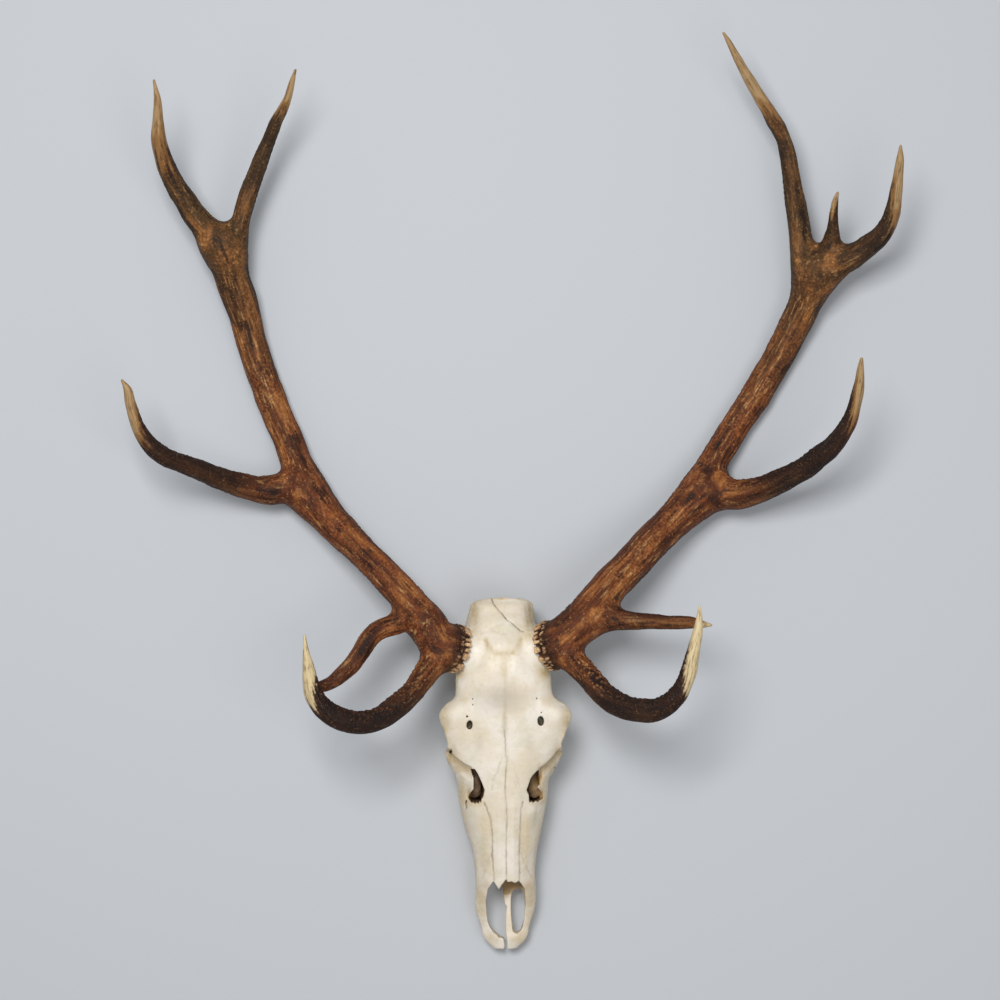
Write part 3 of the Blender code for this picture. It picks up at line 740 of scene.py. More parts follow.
class Finish:
    """Base of the materials: a Principled shader with helpers for masks and mixes."""

    def __init__(self, name: str) -> None:
        """Start a material of that name."""
        self.material = bpy.data.materials.new(name)
        self.material.use_nodes = True
        self.tree = self.material.node_tree
        self.shader = self.tree.nodes["Principled BSDF"]

    def add(self, kind: str, inputs: dict | None = None, stops=None, **settings):
        """Add a node to this material."""
        return add_node(self.tree, kind, inputs, stops, **settings)

    def mask(self, name: str):
        """Output of a mask painted on the mesh."""
        return self.add("ShaderNodeAttribute", attribute_name=name).outputs["Fac"]

    def where(self):
        """Output of each place's position in metres."""
        return self.add("ShaderNodeTexCoord").outputs["Object"]

    def mix(self, factor, first, second):
        """Output of a mix of two colours, each a hex colour or another output."""
        first, second = (linear(c) if isinstance(c, str) else c for c in (first, second))
        inputs = {0: factor, 6: first, 7: second}
        return self.add("ShaderNodeMix", inputs, data_type="RGBA").outputs[2]

    def math(self, operation: str, first, second):
        """Output of a calculation on two numbers, kept between 0 and 1."""
        inputs = {0: first, 1: second}
        node = self.add("ShaderNodeMath", inputs, operation=operation, use_clamp=True)
        return node.outputs[0]

    def times(self, first, second):
        """Output of a product, kept between 0 and 1."""
        return self.math("MULTIPLY", first, second)

    def bump(self, strength, distance: float, height, below=None):
        """Output of a bumped normal, on top of the one below."""
        inputs = {"Strength": strength, "Distance": distance, "Height": height}
        if below is not None:
            inputs["Normal"] = below
        return self.add("ShaderNodeBump", inputs).outputs[0]

    def finish(self, ior: float, **inputs) -> bpy.types.Material:
        """Link or set inputs of the shader.

        Args:
            ior: the surface's refractive index.
            inputs: values or outputs, by input name with underscores for spaces.

        Returns:
            The finished material.
        """
        self.shader.inputs["IOR"].default_value = ior
        for name, value in inputs.items():
            target = self.shader.inputs[name.replace("_", " ")]
            if isinstance(value, bpy.types.NodeSocket):
                self.tree.links.new(value, target)
            else:
                target.default_value = value
        return self.material

    def noise(self, vector, scale: float, detail: float = 4.0, roughness: float = 0.55):
        """Output of a noise texture, from 0 to 1."""
        inputs = {"Vector": vector, "Scale": scale, "Detail": detail, "Roughness": roughness}
        return self.add("ShaderNodeTexNoise", inputs).outputs["Fac"]

    def span(self, value, low: float, high: float, start: float = 0.0, end: float = 1.0):
        """Output of a value mapped smoothly from one span to another."""
        inputs = {"Value": value, "From Min": low, "From Max": high, "To Min": start, "To Max": end}
        return self.add("ShaderNodeMapRange", inputs, interpolation_type="SMOOTHSTEP").outputs[0]


@dataclass(frozen=True)
class BoneFinish:
    """Dry cream bone, boiled and bleached, then yellowed where fat stayed in it, with painted shade in its
    hollows, holes and eye sockets, on its steep sides and below its forehead plate's edges.
    """

    cream: str = "E6D9C2"
    pale: str = "EFE6D8"
    green: str = "D6D0B4"
    ochre: str = "C2A872"
    grey_shade: str = "B5AC9C"
    # Grey of the painted shade in hollows
    seam: str = "5E4630"
    inner: str = "B39A7C"
    dark: str = "765E48"
    gold: str = "A07A3C"
    # Dark of the painted shade inside the small holes
    pit_shade: str = "42381B"
    roughness: float = 0.44

    def build(self) -> bpy.types.Material:
        """Make the material."""
        m = Finish("bone")
        where = m.where()
        # Clouds 35 mm across, as bone bleaches unevenly
        cloud = m.noise(where, 28, 3)
        colour = m.mix(m.span(cloud, 0.35, 0.65), self.cream, self.pale)
        tint = m.noise(where, 45, 2)
        colour = m.mix(m.span(tint, 0.5, 0.72, 0.0, 0.5), colour, self.green)
        # Flecks 4 mm across, of grease left in the bone
        fleck = m.noise(where, 240, 5, 0.65)
        colour = m.mix(m.span(fleck, 0.5, 0.78, 0.0, 0.3), colour, self.ochre)
        # Ochre of the stain mask: real yellowing, and painted shade on steep sides, below the forehead
        # plate's edges and in hollows
        stain = m.times(m.mask("stain"), m.span(fleck, 0.3, 0.6, 0.6, 1.0))
        colour = m.mix(stain, colour, self.ochre)
        # Grey painted shade in the hollows
        colour = m.mix(m.times(m.mask("grey_shade"), 0.7), colour, self.grey_shade)
        # Pinholes 1 mm across
        pinhole = m.noise(where, 800, 3, 0.7)
        colour = m.mix(m.span(pinhole, 0.66, 0.76, 0.0, 0.35), colour, self.seam)
        # Dark sutures and cracks, and painted shade below the forehead plate's edges
        colour = m.mix(m.mask("seam"), colour, self.seam)
        inner = m.mix(m.span(m.noise(where, 120, 4), 0.35, 0.65), self.dark, self.inner)
        # Inner bone of the nose with painted shade deepening into the eye sockets, then golden bone, then
        # painted shade inside the small holes
        for name, tone in (("inner", inner), ("gold", self.gold), ("pit_shade", self.pit_shade)):
            colour = m.mix(m.mask(name), colour, tone)
        # Grain 1 mm wide that runs along the nose, under pores of about 0.7 mm
        stretched = m.add("ShaderNodeMapping", {"Vector": where, "Scale": (1.0, 0.18, 1.0)})
        grain = m.noise(stretched.outputs[0], 900, 4, 0.6)
        pores = m.noise(where, 1500, 3, 0.7)
        normal = m.bump(0.25, 0.0003, pores, m.bump(0.3, 0.0004, grain))
        rough = m.span(fleck, 0.3, 0.7, self.roughness - 0.06, self.roughness + 0.14)
        return m.finish(1.5, Base_Color=colour, Normal=normal, Roughness=rough, Subsurface_Weight=0.05,
                        Subsurface_Radius=(0.004, 0.003, 0.002), Subsurface_Scale=0.5)


@dataclass(frozen=True)
class AntlerFinish:
    """Antler stained by bark and sap, its ridges rubbed lighter and its tips worn to ivory, with painted
    golden highlights on its upward faces and painted shade on its sides, its undersides and round its burr.
    """

    deep: str = "190D07"
    brown: str = "5A2B10"
    red: str = "8C4A20"
    olive: str = "54401F"
    gold: str = "B0733A"
    worn: str = "D6A468"
    pearl: str = "FAD6A6"
    ivory: str = "E2CFA2"
    amber: str = "916A3E"
    bark: str = "4E3018"
    roughness: float = 0.55

    def build(self) -> bpy.types.Material:
        """Make the material."""
        m = Finish("antler")
        where = m.where()
        grain = m.add("ShaderNodeAttribute", attribute_name="grain").outputs["Vector"]
        # Streaks 3 mm wide and 25 mm long, following each branch
        long = m.add("ShaderNodeMapping", {"Vector": grain, "Scale": (1.0, 1.0, 0.12)}).outputs[0]
        clear = m.mask("clear")
        streak = m.mix(clear, m.noise(where, 150, 5, 0.62), m.noise(long, 330, 5, 0.62))
        broad = m.mix(clear, m.noise(where, 45, 3, 0.5), m.noise(long, 75, 4, 0.55))
        patch = m.noise(where, 17, 4, 0.6)
        speck = m.noise(where, 500, 5, 0.72)
        # Pearling, in grains about 2.5 mm across that a slow noise makes uneven
        cells = {"Vector": where, "Scale": 390.0, "Randomness": 1.0}
        domes = m.add("ShaderNodeTexVoronoi", cells, feature="SMOOTH_F1").outputs["Distance"]
        uneven = m.span(m.noise(where, 130, 3), 0.3, 0.6, 0.45, 1.0)
        dome = m.times(m.span(domes, 0.62, 0.12), uneven)
        colour = m.mix(m.span(broad, 0.36, 0.66), self.brown, self.red)
        # The crowns are more olive than the bases
        colour = m.mix(m.times(m.mask("olive"), 0.75), colour, self.olive)
        # Golden highlights painted on upward faces, in patches and flecks
        golden_highlight = m.times(m.span(broad, 0.46, 0.62), m.span(patch, 0.36, 0.6))
        golden_highlight = m.times(golden_highlight, m.span(m.mask("top_light_and_wear"), 0.35, 1.0))
        fleck = m.mix(clear, m.noise(where, 260, 4, 0.6), m.noise(long, 420, 4, 0.6))
        golden_highlight = m.times(golden_highlight, m.span(fleck, 0.4, 0.6, 0.25, 0.9))
        colour = m.mix(golden_highlight, colour, self.gold)
        # Ridges rubbed lighter, shown only on upward faces: real wear with a painted highlight
        worn_lit_ridges = m.times(m.span(streak, 0.5, 0.74), m.span(m.mask("relief"), 0.25, 0.7))
        worn_lit_ridges = m.times(worn_lit_ridges, m.mask("top_light_and_wear"))
        colour = m.mix(m.times(worn_lit_ridges, 0.8), colour, self.worn)
        # Painted shade on sides and undersides, darker the less they face up
        colour = m.mix(m.span(m.mask("top_light_and_wear"), 0.55, 0.0, 0.0, 0.72), colour, self.deep)
        hollow = m.span(m.mask("relief"), 0.5, 0.18)
        colour = m.mix(m.times(hollow, 0.8), colour, self.deep)
        colour = m.mix(m.span(streak, 0.44, 0.26, 0.0, 0.7), colour, self.deep)
        gaps = m.times(m.span(dome, 0.35, 0.05), m.span(patch, 0.3, 0.6, 0.55, 0.25))
        colour = m.mix(gaps, colour, self.deep)
        colour = m.mix(m.times(m.span(speck, 0.56, 0.7), 0.45), colour, self.deep)
        # Darker tines, with painted shade round the burr from the same mask
        colour = m.mix(m.times(m.mask("dusk"), 0.9), colour, self.deep)
        # Worn tops of the grains, here and there
        tops = m.times(m.span(dome, 0.7, 0.95), m.span(speck, 0.46, 0.62))
        tops = m.times(tops, m.span(m.mask("dusk"), 0.0, 1.0, 0.5, 0.28))
        colour = m.mix(tops, colour, self.worn)
        bead = m.times(m.span(m.mask("dome"), 0.5, 0.95), m.span(speck, 0.35, 0.6, 0.0, 0.45))
        bead_colour = m.mix(m.mask("dusk"), self.worn, self.red)
        colour = m.mix(bead, colour, bead_colour)
        rubbed = m.mix(m.span(speck, 0.44, 0.62), self.pearl, self.gold)
        colour = m.mix(m.mask("pearl"), colour, rubbed)
        # Rubbed points: amber with brown streaks, paler towards the end
        fibre = m.noise(long, 520, 4, 0.6)
        ivory = m.mix(m.mask("pale"), self.amber, self.ivory)
        ivory = m.mix(m.span(m.mask("tip"), 0.85, 1.0, 0.0, 0.22), ivory, self.ivory)
        ivory = m.mix(m.span(fibre, 0.46, 0.72, 0.0, 0.8), ivory, self.bark)
        tip = m.math("ADD", m.mask("tip"), m.span(streak, 0.3, 0.7, -0.3, 0.3))
        tip = m.times(m.span(tip, 0.2, 0.8), m.span(m.mask("tip"), 0.02, 0.15))
        colour = m.mix(tip, colour, ivory)
        fine = m.mix(clear, m.noise(where, 700, 4, 0.65), m.noise(long, 1500, 4, 0.65))
        grit = m.noise(where, 1300, 4, 0.7)
        skin = m.math("SUBTRACT", 1.0, tip)
        strength = m.times(skin, 0.8)
        normal = m.bump(0.35, 0.0005, fine, m.bump(strength, 0.0009, dome))
        normal = m.bump(strength, 0.0005, grit, normal)
        gloss = m.span(tip, 0.0, 1.0, self.roughness, 0.34)
        gloss = m.math("ADD", gloss, m.span(speck, 0.3, 0.7, 0.0, 0.12))
        # Open pores swallow half of the shine
        return m.finish(1.52, Base_Color=colour, Normal=normal, Roughness=gloss, Specular_IOR_Level=0.25)


@dataclass(frozen=True)
class EnamelFinish:
    """Grass-worn tooth enamel, with tartar at the gum and stain in the folds."""

    enamel: str = "E8DCC4"
    dentine: str = "C09A66"
    stain: str = "3A2717"
    roughness: float = 0.3

    def build(self) -> bpy.types.Material:
        """Make the material."""
        m = Finish("enamel")
        where = m.where()
        cloud = m.noise(where, 180, 4)
        colour = m.mix(m.span(cloud, 0.4, 0.7, 0.0, 0.5), self.enamel, self.dentine)
        colour = m.mix(m.mask("fold"), colour, self.stain)
        normal = m.bump(0.3, 0.0003, m.noise(where, 900, 3))
        gloss = m.span(cloud, 0.3, 0.7, self.roughness, self.roughness + 0.2)
        return m.finish(1.62, Base_Color=colour, Normal=normal, Roughness=gloss)


@dataclass(frozen=True)
class Branch:
    """One branch of an antler, from its root to its tip."""

    name: str
    stations: tuple[Station, ...]
    ivory: float = 0.0
    pearls: float = 0.3
    inner_pearls: float = 0.0
    dusk: float = 0.0
    pale: float = 0.0
    one_sided: float = 0.34
    blend: float = 0.4


@dataclass
class Trunk:
    """A branch's path, with a turning frame that follows it."""

    branch: Branch
    path: Array
    along: Array = field(init=False)
    frames: Array = field(init=False)

    def __post_init__(self) -> None:
        """Work out the distance along the path and the frames."""
        centres = self.path[:, :3]
        lengths = np.linalg.norm(np.diff(centres, axis=0), axis=1)
        self.along = np.concatenate(([0], np.cumsum(lengths)))
        tangents = np.gradient(centres, axis=0)
        tangents /= np.linalg.norm(tangents, axis=1)[:, None]
        side = np.cross(tangents[0], (0.3, 0.2, 1.0))
        frames = []
        for tangent in tangents:
            side = side - tangent * (side @ tangent)
            side /= np.linalg.norm(side)
            frames.append((side, np.cross(tangent, side), tangent))
        self.frames = np.array(frames)

    @property
    def length(self) -> float:
        """The branch's length in metres."""
        return float(self.along[-1])

    @property
    def bend(self) -> Array:
        """The direction that the branch turns to, over its outer two thirds."""
        turn = self.frames[-2, 2] - self.frames[len(self.frames) // 3, 2]
        return turn / np.linalg.norm(turn)


@dataclass
class Spots:
    """Where points lie on an antler: branch, distances and place in the branch's own frame."""

    branch: Array
    along: Array
    to_tip: Array
    radius: Array
    local: Array
    clear: Array
    inward: Array


@dataclass
class Antler:
    """One antler, from its burr to its points, with its lengths in metres."""

    side: Side
    branches: tuple[Branch, ...]
    nodes: tuple[str, ...]
    burr: Triple
    axis: Triple
    seed: int
    cell: float = 0.00115
    quick_cell: float = 0.0022
    padding: float = 0.035
    step: float = 0.004
    burr_radius: float = 0.0275
    rear_pearl_shade: float = 0.4
    fork_fillet: float = 0.013
    thinnest: float = 0.0016
    groove_wave: Triple = (0.0046, 0.0046, 0.045)
    groove_depth: float = 0.0007
    channel_wave: Triple = (0.011, 0.011, 0.11)
    channel_depth: float = 0.0007
    pearl_wave: float = 0.0046
    pearl_height: float = 0.0011
    lump_wave: float = 0.022
    lump_height: float = 0.0006
    trunks: list[Trunk] = field(init=False)
    noise: Noise = field(init=False)
    centre: Array = field(init=False)
    way: Array = field(init=False)

    def build(self, view: PhotoView, material: bpy.types.Material) -> bpy.types.Object:
        """Make the antler's mesh.

        Args:
            view: the photograph's view.
            material: the antler's finish.

        Returns:
            The piece.
        """
        self.trunks = [Trunk(b, view.path(b.stations, self.step)) for b in self.branches]
        self.noise = Noise(self.seed)
        self.centre = view.point(*self.burr)
        self.way = np.array(self.axis) / np.linalg.norm(self.axis)
        obj = make_mesh(f"antler_{self.side.word}", *self._shape())
        points, normals = mesh_points(obj.data)
        relief, _ = self.relief(points, self.locate(points, normals))
        move_points(obj.data, above_floor(points + normals * relief[:, None]))
        thin_out(obj, FACE_LIMIT)
        self._paint(obj.data)
        obj.data.materials.append(material)
        return obj

    def _shape(self) -> tuple[Array, Array]:
        """The antler's smooth body, with its ring of burr pearls."""
        spots = np.concatenate([t.path[:, :3] for t in self.trunks])
        cell = quick_or(self.cell)
        space = Field(spots.min(axis=0) - self.padding, spots.max(axis=0) + self.padding, cell)
        for trunk in self.trunks:
            path = trunk.path.copy()
            path[:, 3] = np.maximum(path[:, 3], self.thinnest)
            space.tube(path, self.fork_fillet)
        self._add_burr(space)
        vertices, quads = space.skin()
        return relax(vertices, quads, 3), quads

    def _beads(self) -> list[Array]:
        """The burr's pearls: long ones across its rim, then small ones behind them.

        Returns:
            For each pearl two rows of x, y, z, radius, the rim's pearls first.
        """
        rng = np.random.default_rng(self.seed)
        across = np.cross(self.way, (0.0, 1.0, 0.0))
        across /= np.linalg.norm(across)
        other = np.cross(self.way, across)
        beads = []
        for row, (count, low, high, width, size) in enumerate(PEARL_ROWS):
            for k in range(count):
                angle = (k + row / 2 + 0.28 * rng.uniform(-1, 1)) / count * math.tau
                lean = angle + 0.05 * rng.uniform(-1, 1)
                out = across * math.cos(angle) + other * math.sin(angle)
                over = across * math.cos(lean) + other * math.sin(lean)
                reach = self.burr_radius * width * rng.uniform(0.965, 1.03)
                radius = size * MM * rng.uniform(0.72, 1.18)
                start = self.centre + self.way * (low + rng.uniform(-1, 1) * 0.0007) + out * reach * 0.975
                end = self.centre + self.way * (high + rng.uniform(-1, 1) * 0.0012) + over * reach
                beads.append(np.array([(*start, radius), (*end, radius * rng.uniform(0.75, 1.0))]))
        return beads

    def _add_burr(self, space: Field) -> None:
        """A thick ring of pearls round the antler's base."""
        disc = [(*(self.centre + self.way * level), self.burr_radius * width) for level, width in BURR_DISC]
        space.tube(np.array(disc), 0.002)
        space.cut_flat(self.centre, -self.way, BURR_FOOT, 0.045)
        for bead in self._beads():
            space.tube(bead, 0.0004)

    def _bead_mask(self, points: Array) -> Array:
        """How far each place is on the top of a rim pearl, from 0 to 1."""
        near = np.flatnonzero(np.linalg.norm(points - self.centre, axis=1) < self.burr_radius * 1.35)
        best = np.full(len(near), np.inf)
        tones = np.random.default_rng(self.seed).uniform(0.45, 1.0, 2 * RIM_PEARLS)
        # The rear row of pearls is painted darker, as painted shade behind the rim
        tones[RIM_PEARLS:] *= self.rear_pearl_shade
        mask = np.zeros(len(points))
        for bead, tone in zip(self._beads(), tones):
            run = (bead[1] - bead[0])[:3]
            t = np.clip(((points[near] - bead[0, :3]) @ run) / (run @ run), 0, 1)
            offset = (points[near] - bead[0, :3] - t[:, None] * run) / bead[0, 3]
            gap = np.linalg.norm(offset, axis=1)
            out = bead[0, :3] - self.centre
            out = out / np.linalg.norm(out) - 0.5 * self.way
            closer = gap < best
            mask[near[closer]] = tone * ease(0.1, 0.95, offset[closer] @ out)
            best = np.minimum(best, gap)
        mask[near] *= ease(1.3, 1.08, best)
        return mask

    def locate(self, points: Array, normals: Array) -> Spots:
        """Find where points lie on the branches.

        Args:
            points: points on the antler.
            normals: their normals.

        Returns:
            The points' places.
        """
        total = len(points)
        nearest = np.full((len(self.trunks), total), np.inf)
        index = np.zeros((len(self.trunks), total), dtype=int)
        for t, trunk in enumerate(self.trunks):
            for start in range(0, total, CHUNK):
                part = slice(start, start + CHUNK)
                gaps = np.linalg.norm(points[part, None] - trunk.path[None, :, :3], axis=2)
                gaps -= trunk.path[None, :, 3]
                index[t, part] = gaps.argmin(axis=1)
                nearest[t, part] = gaps.min(axis=1)
        best, second = np.argsort(nearest, axis=0)[:2]
        everyone = np.arange(total)
        clear = ease(0.0, 0.012, nearest[second, everyone] - nearest[best, everyone])
        along, to_tip, radius, inward = np.zeros((4, total))
        spots = Spots(best, along, to_tip, radius, np.zeros((total, 3)), clear, inward)
        for t, trunk in enumerate(self.trunks):
            mine = np.flatnonzero(best == t)
            at = index[t, mine]
            offset = points[mine] - trunk.path[at, :3]
            local = np.einsum("ijk,ik->ij", trunk.frames[at], offset)
            local[:, 2] += trunk.along[at]
            spots.local[mine] = local + (0.37 * t, 0.11 * t, 0)
            spots.along[mine] = trunk.along[at]
            reserve = 0 if trunk.branch.ivory else FAR
            spots.to_tip[mine] = trunk.length - trunk.along[at] + reserve
            spots.radius[mine] = trunk.path[at, 3]
            bend = trunk.bend - trunk.frames[at, 2] * (trunk.frames[at, 2] @ trunk.bend)[:, None]
            bend /= np.linalg.norm(bend, axis=1)[:, None] + 1e-9
            spots.inward[mine] = np.einsum("ij,ij->i", normals[mine], bend)
        return spots

    def relief(self, points: Array, spots: Spots) -> tuple[Array, Array]:
        """Height of the antler's grooves, lumps and pearls.

        Args:
            points: points on the smooth body.
            spots: their places on the branches.

        Returns:
            The height at each point in metres, and how much of it is pearls, from 0 to 1.
        """
        smooth_tip = ease(0.3, 1.3, spots.to_tip / np.maximum(self._each("ivory", spots), 0.03))
        size = ease(0.002, 0.012, spots.radius)
        rough = smooth_tip * size
        grooves = self.noise.ridges(spots.local / self.groove_wave) - 0.45
        wide = self.noise.smooth(spots.local / self.channel_wave + 5.0)
        lumps = self.noise.rough(points / self.lump_wave, 2)
        height = (self.groove_depth * grooves + self.channel_depth * wide) * rough * spots.clear
        height += self.lump_height * lumps * size
        pearls = self._pearl_mask(points, spots)
        domes = self.noise.domes(points / self.pearl_wave, 0.55)
        height += self.pearl_height * (domes - 0.25) * pearls * smooth_tip
        near = np.linalg.norm(points - self.centre, axis=1)
        off_axis = (points - self.centre) @ self.way
        keep = np.maximum(ease(0.013, 0.022, off_axis), ease(0.045, 0.06, near))
        return height * keep, domes * pearls * keep

    def _each(self, setting: str, spots: Spots) -> Array:
        """A setting of the branch that each place lies on."""
        return np.array([getattr(branch, setting) for branch in self.branches])[spots.branch]

    def _pearl_mask(self, points: Array, spots: Spots) -> Array:
        """How strongly each place is pearled."""
        patches = ease(-0.35, 0.45, self.noise.rough(points / 0.05, 2))
        base = ease(0.34, 0.02, spots.along) * 0.4 * (spots.branch == 0)
        curve = self._each("inner_pearls", spots) * ease(-0.3, 0.6, spots.inward)
        return np.clip(self._each("pearls", spots) * patches + base * patches + curve, 0, 1)

    def _paint(self, mesh: bpy.types.Mesh) -> None:
        """Paint the masks that the finish reads."""
        points, normals = mesh_points(mesh)
        spots = self.locate(points, normals)
        height, pearls = self.relief(points, spots)
        tips, dusk, pale, one_sided, blend = (
            self._each(setting, spots) for setting in ("ivory", "dusk", "pale", "one_sided", "blend"))
        ragged = self.noise.smooth(spots.local / (0.004, 0.004, 0.06) + 9.0) * 0.3
        reach = spots.to_tip / np.maximum(tips, 1e-3) + ragged * blend / 0.4 + one_sided * spots.inward
        tip = ease(0.0, 1.0, (0.85 + blend - reach) / (2 * blend)) * (tips > 0)
        start = ease(0.05, 0.42, spots.along / np.maximum(spots.along + spots.to_tip, 0.01))
        off_axis = (points - self.centre) @ self.way
        burr = self._bead_mask(points)
        # Painted light: lighter on upward faces, sides and undersides left for painted shade, none near the
        # tips
        top_light_and_wear = ease(-0.15, 0.85, normals[:, 2]) * ease(0.3, 1.2, spots.to_tip / np.maximum(tips, 0.02))
        # Painted shade in the burr's crevices and at its foot against the skull, kept off the pearls' tops
        near = ease(0.045, 0.032, np.linalg.norm(points - self.centre, axis=1))
        crevice_shade = 0.85 * near * ease(0.022, 0.006, off_axis)
        shade = np.maximum(dusk * start * (1 - 0.8 * tip), crevice_shade * (1 - burr))
        paint(mesh, {
            "grain": spots.local, "clear": spots.clear, "relief": np.clip(0.5 + height / 0.002, 0, 1),
            "pearl": np.clip(burr, 0, 1), "dome": pearls, "olive": ease(0.02, 0.36, points[:, 1]),
            "pale": pale, "top_light_and_wear": top_light_and_wear, "tip": tip, "dusk": np.clip(shade, 0, 1)})


@dataclass(frozen=True)
class Seam:
    """A line on the top of the skull: a suture between bones, or a crack."""

    line: tuple[Pair, ...]
    width: float
    depth: float
    tone: float
    wiggle: float = 0.8
    ochre: float = 0.0


@dataclass(frozen=True)
class Dent:
    """A soft dent or swelling of the skull's top, sized in pixels, with its depth in mm."""

    column: float
    row: float
    half_width: float
    half_height: float
    depth: float


@dataclass(frozen=True)
class Step:
    """An edge below which the skull's top drops by a depth in mm and rises again; the drop also gets painted
    shade.
    """

    line: tuple[Pair, ...]
    depth: float
    reach: float

    def mask(self, seen: Array) -> Array:
        """How far each place lies in the drop, from 0 to 1."""
        line = np.array(self.line)
        below = seen[:, 1] - np.interp(seen[:, 0], line[:, 0], line[:, 1])
        within = ease(line[0, 0] - 1.5, line[0, 0], seen[:, 0])
        within *= ease(line[-1, 0] + 1.5, line[-1, 0], seen[:, 0])
        return ease(-0.9, 0.9, below) * ease(self.reach, 0.15 * self.reach, below) * within


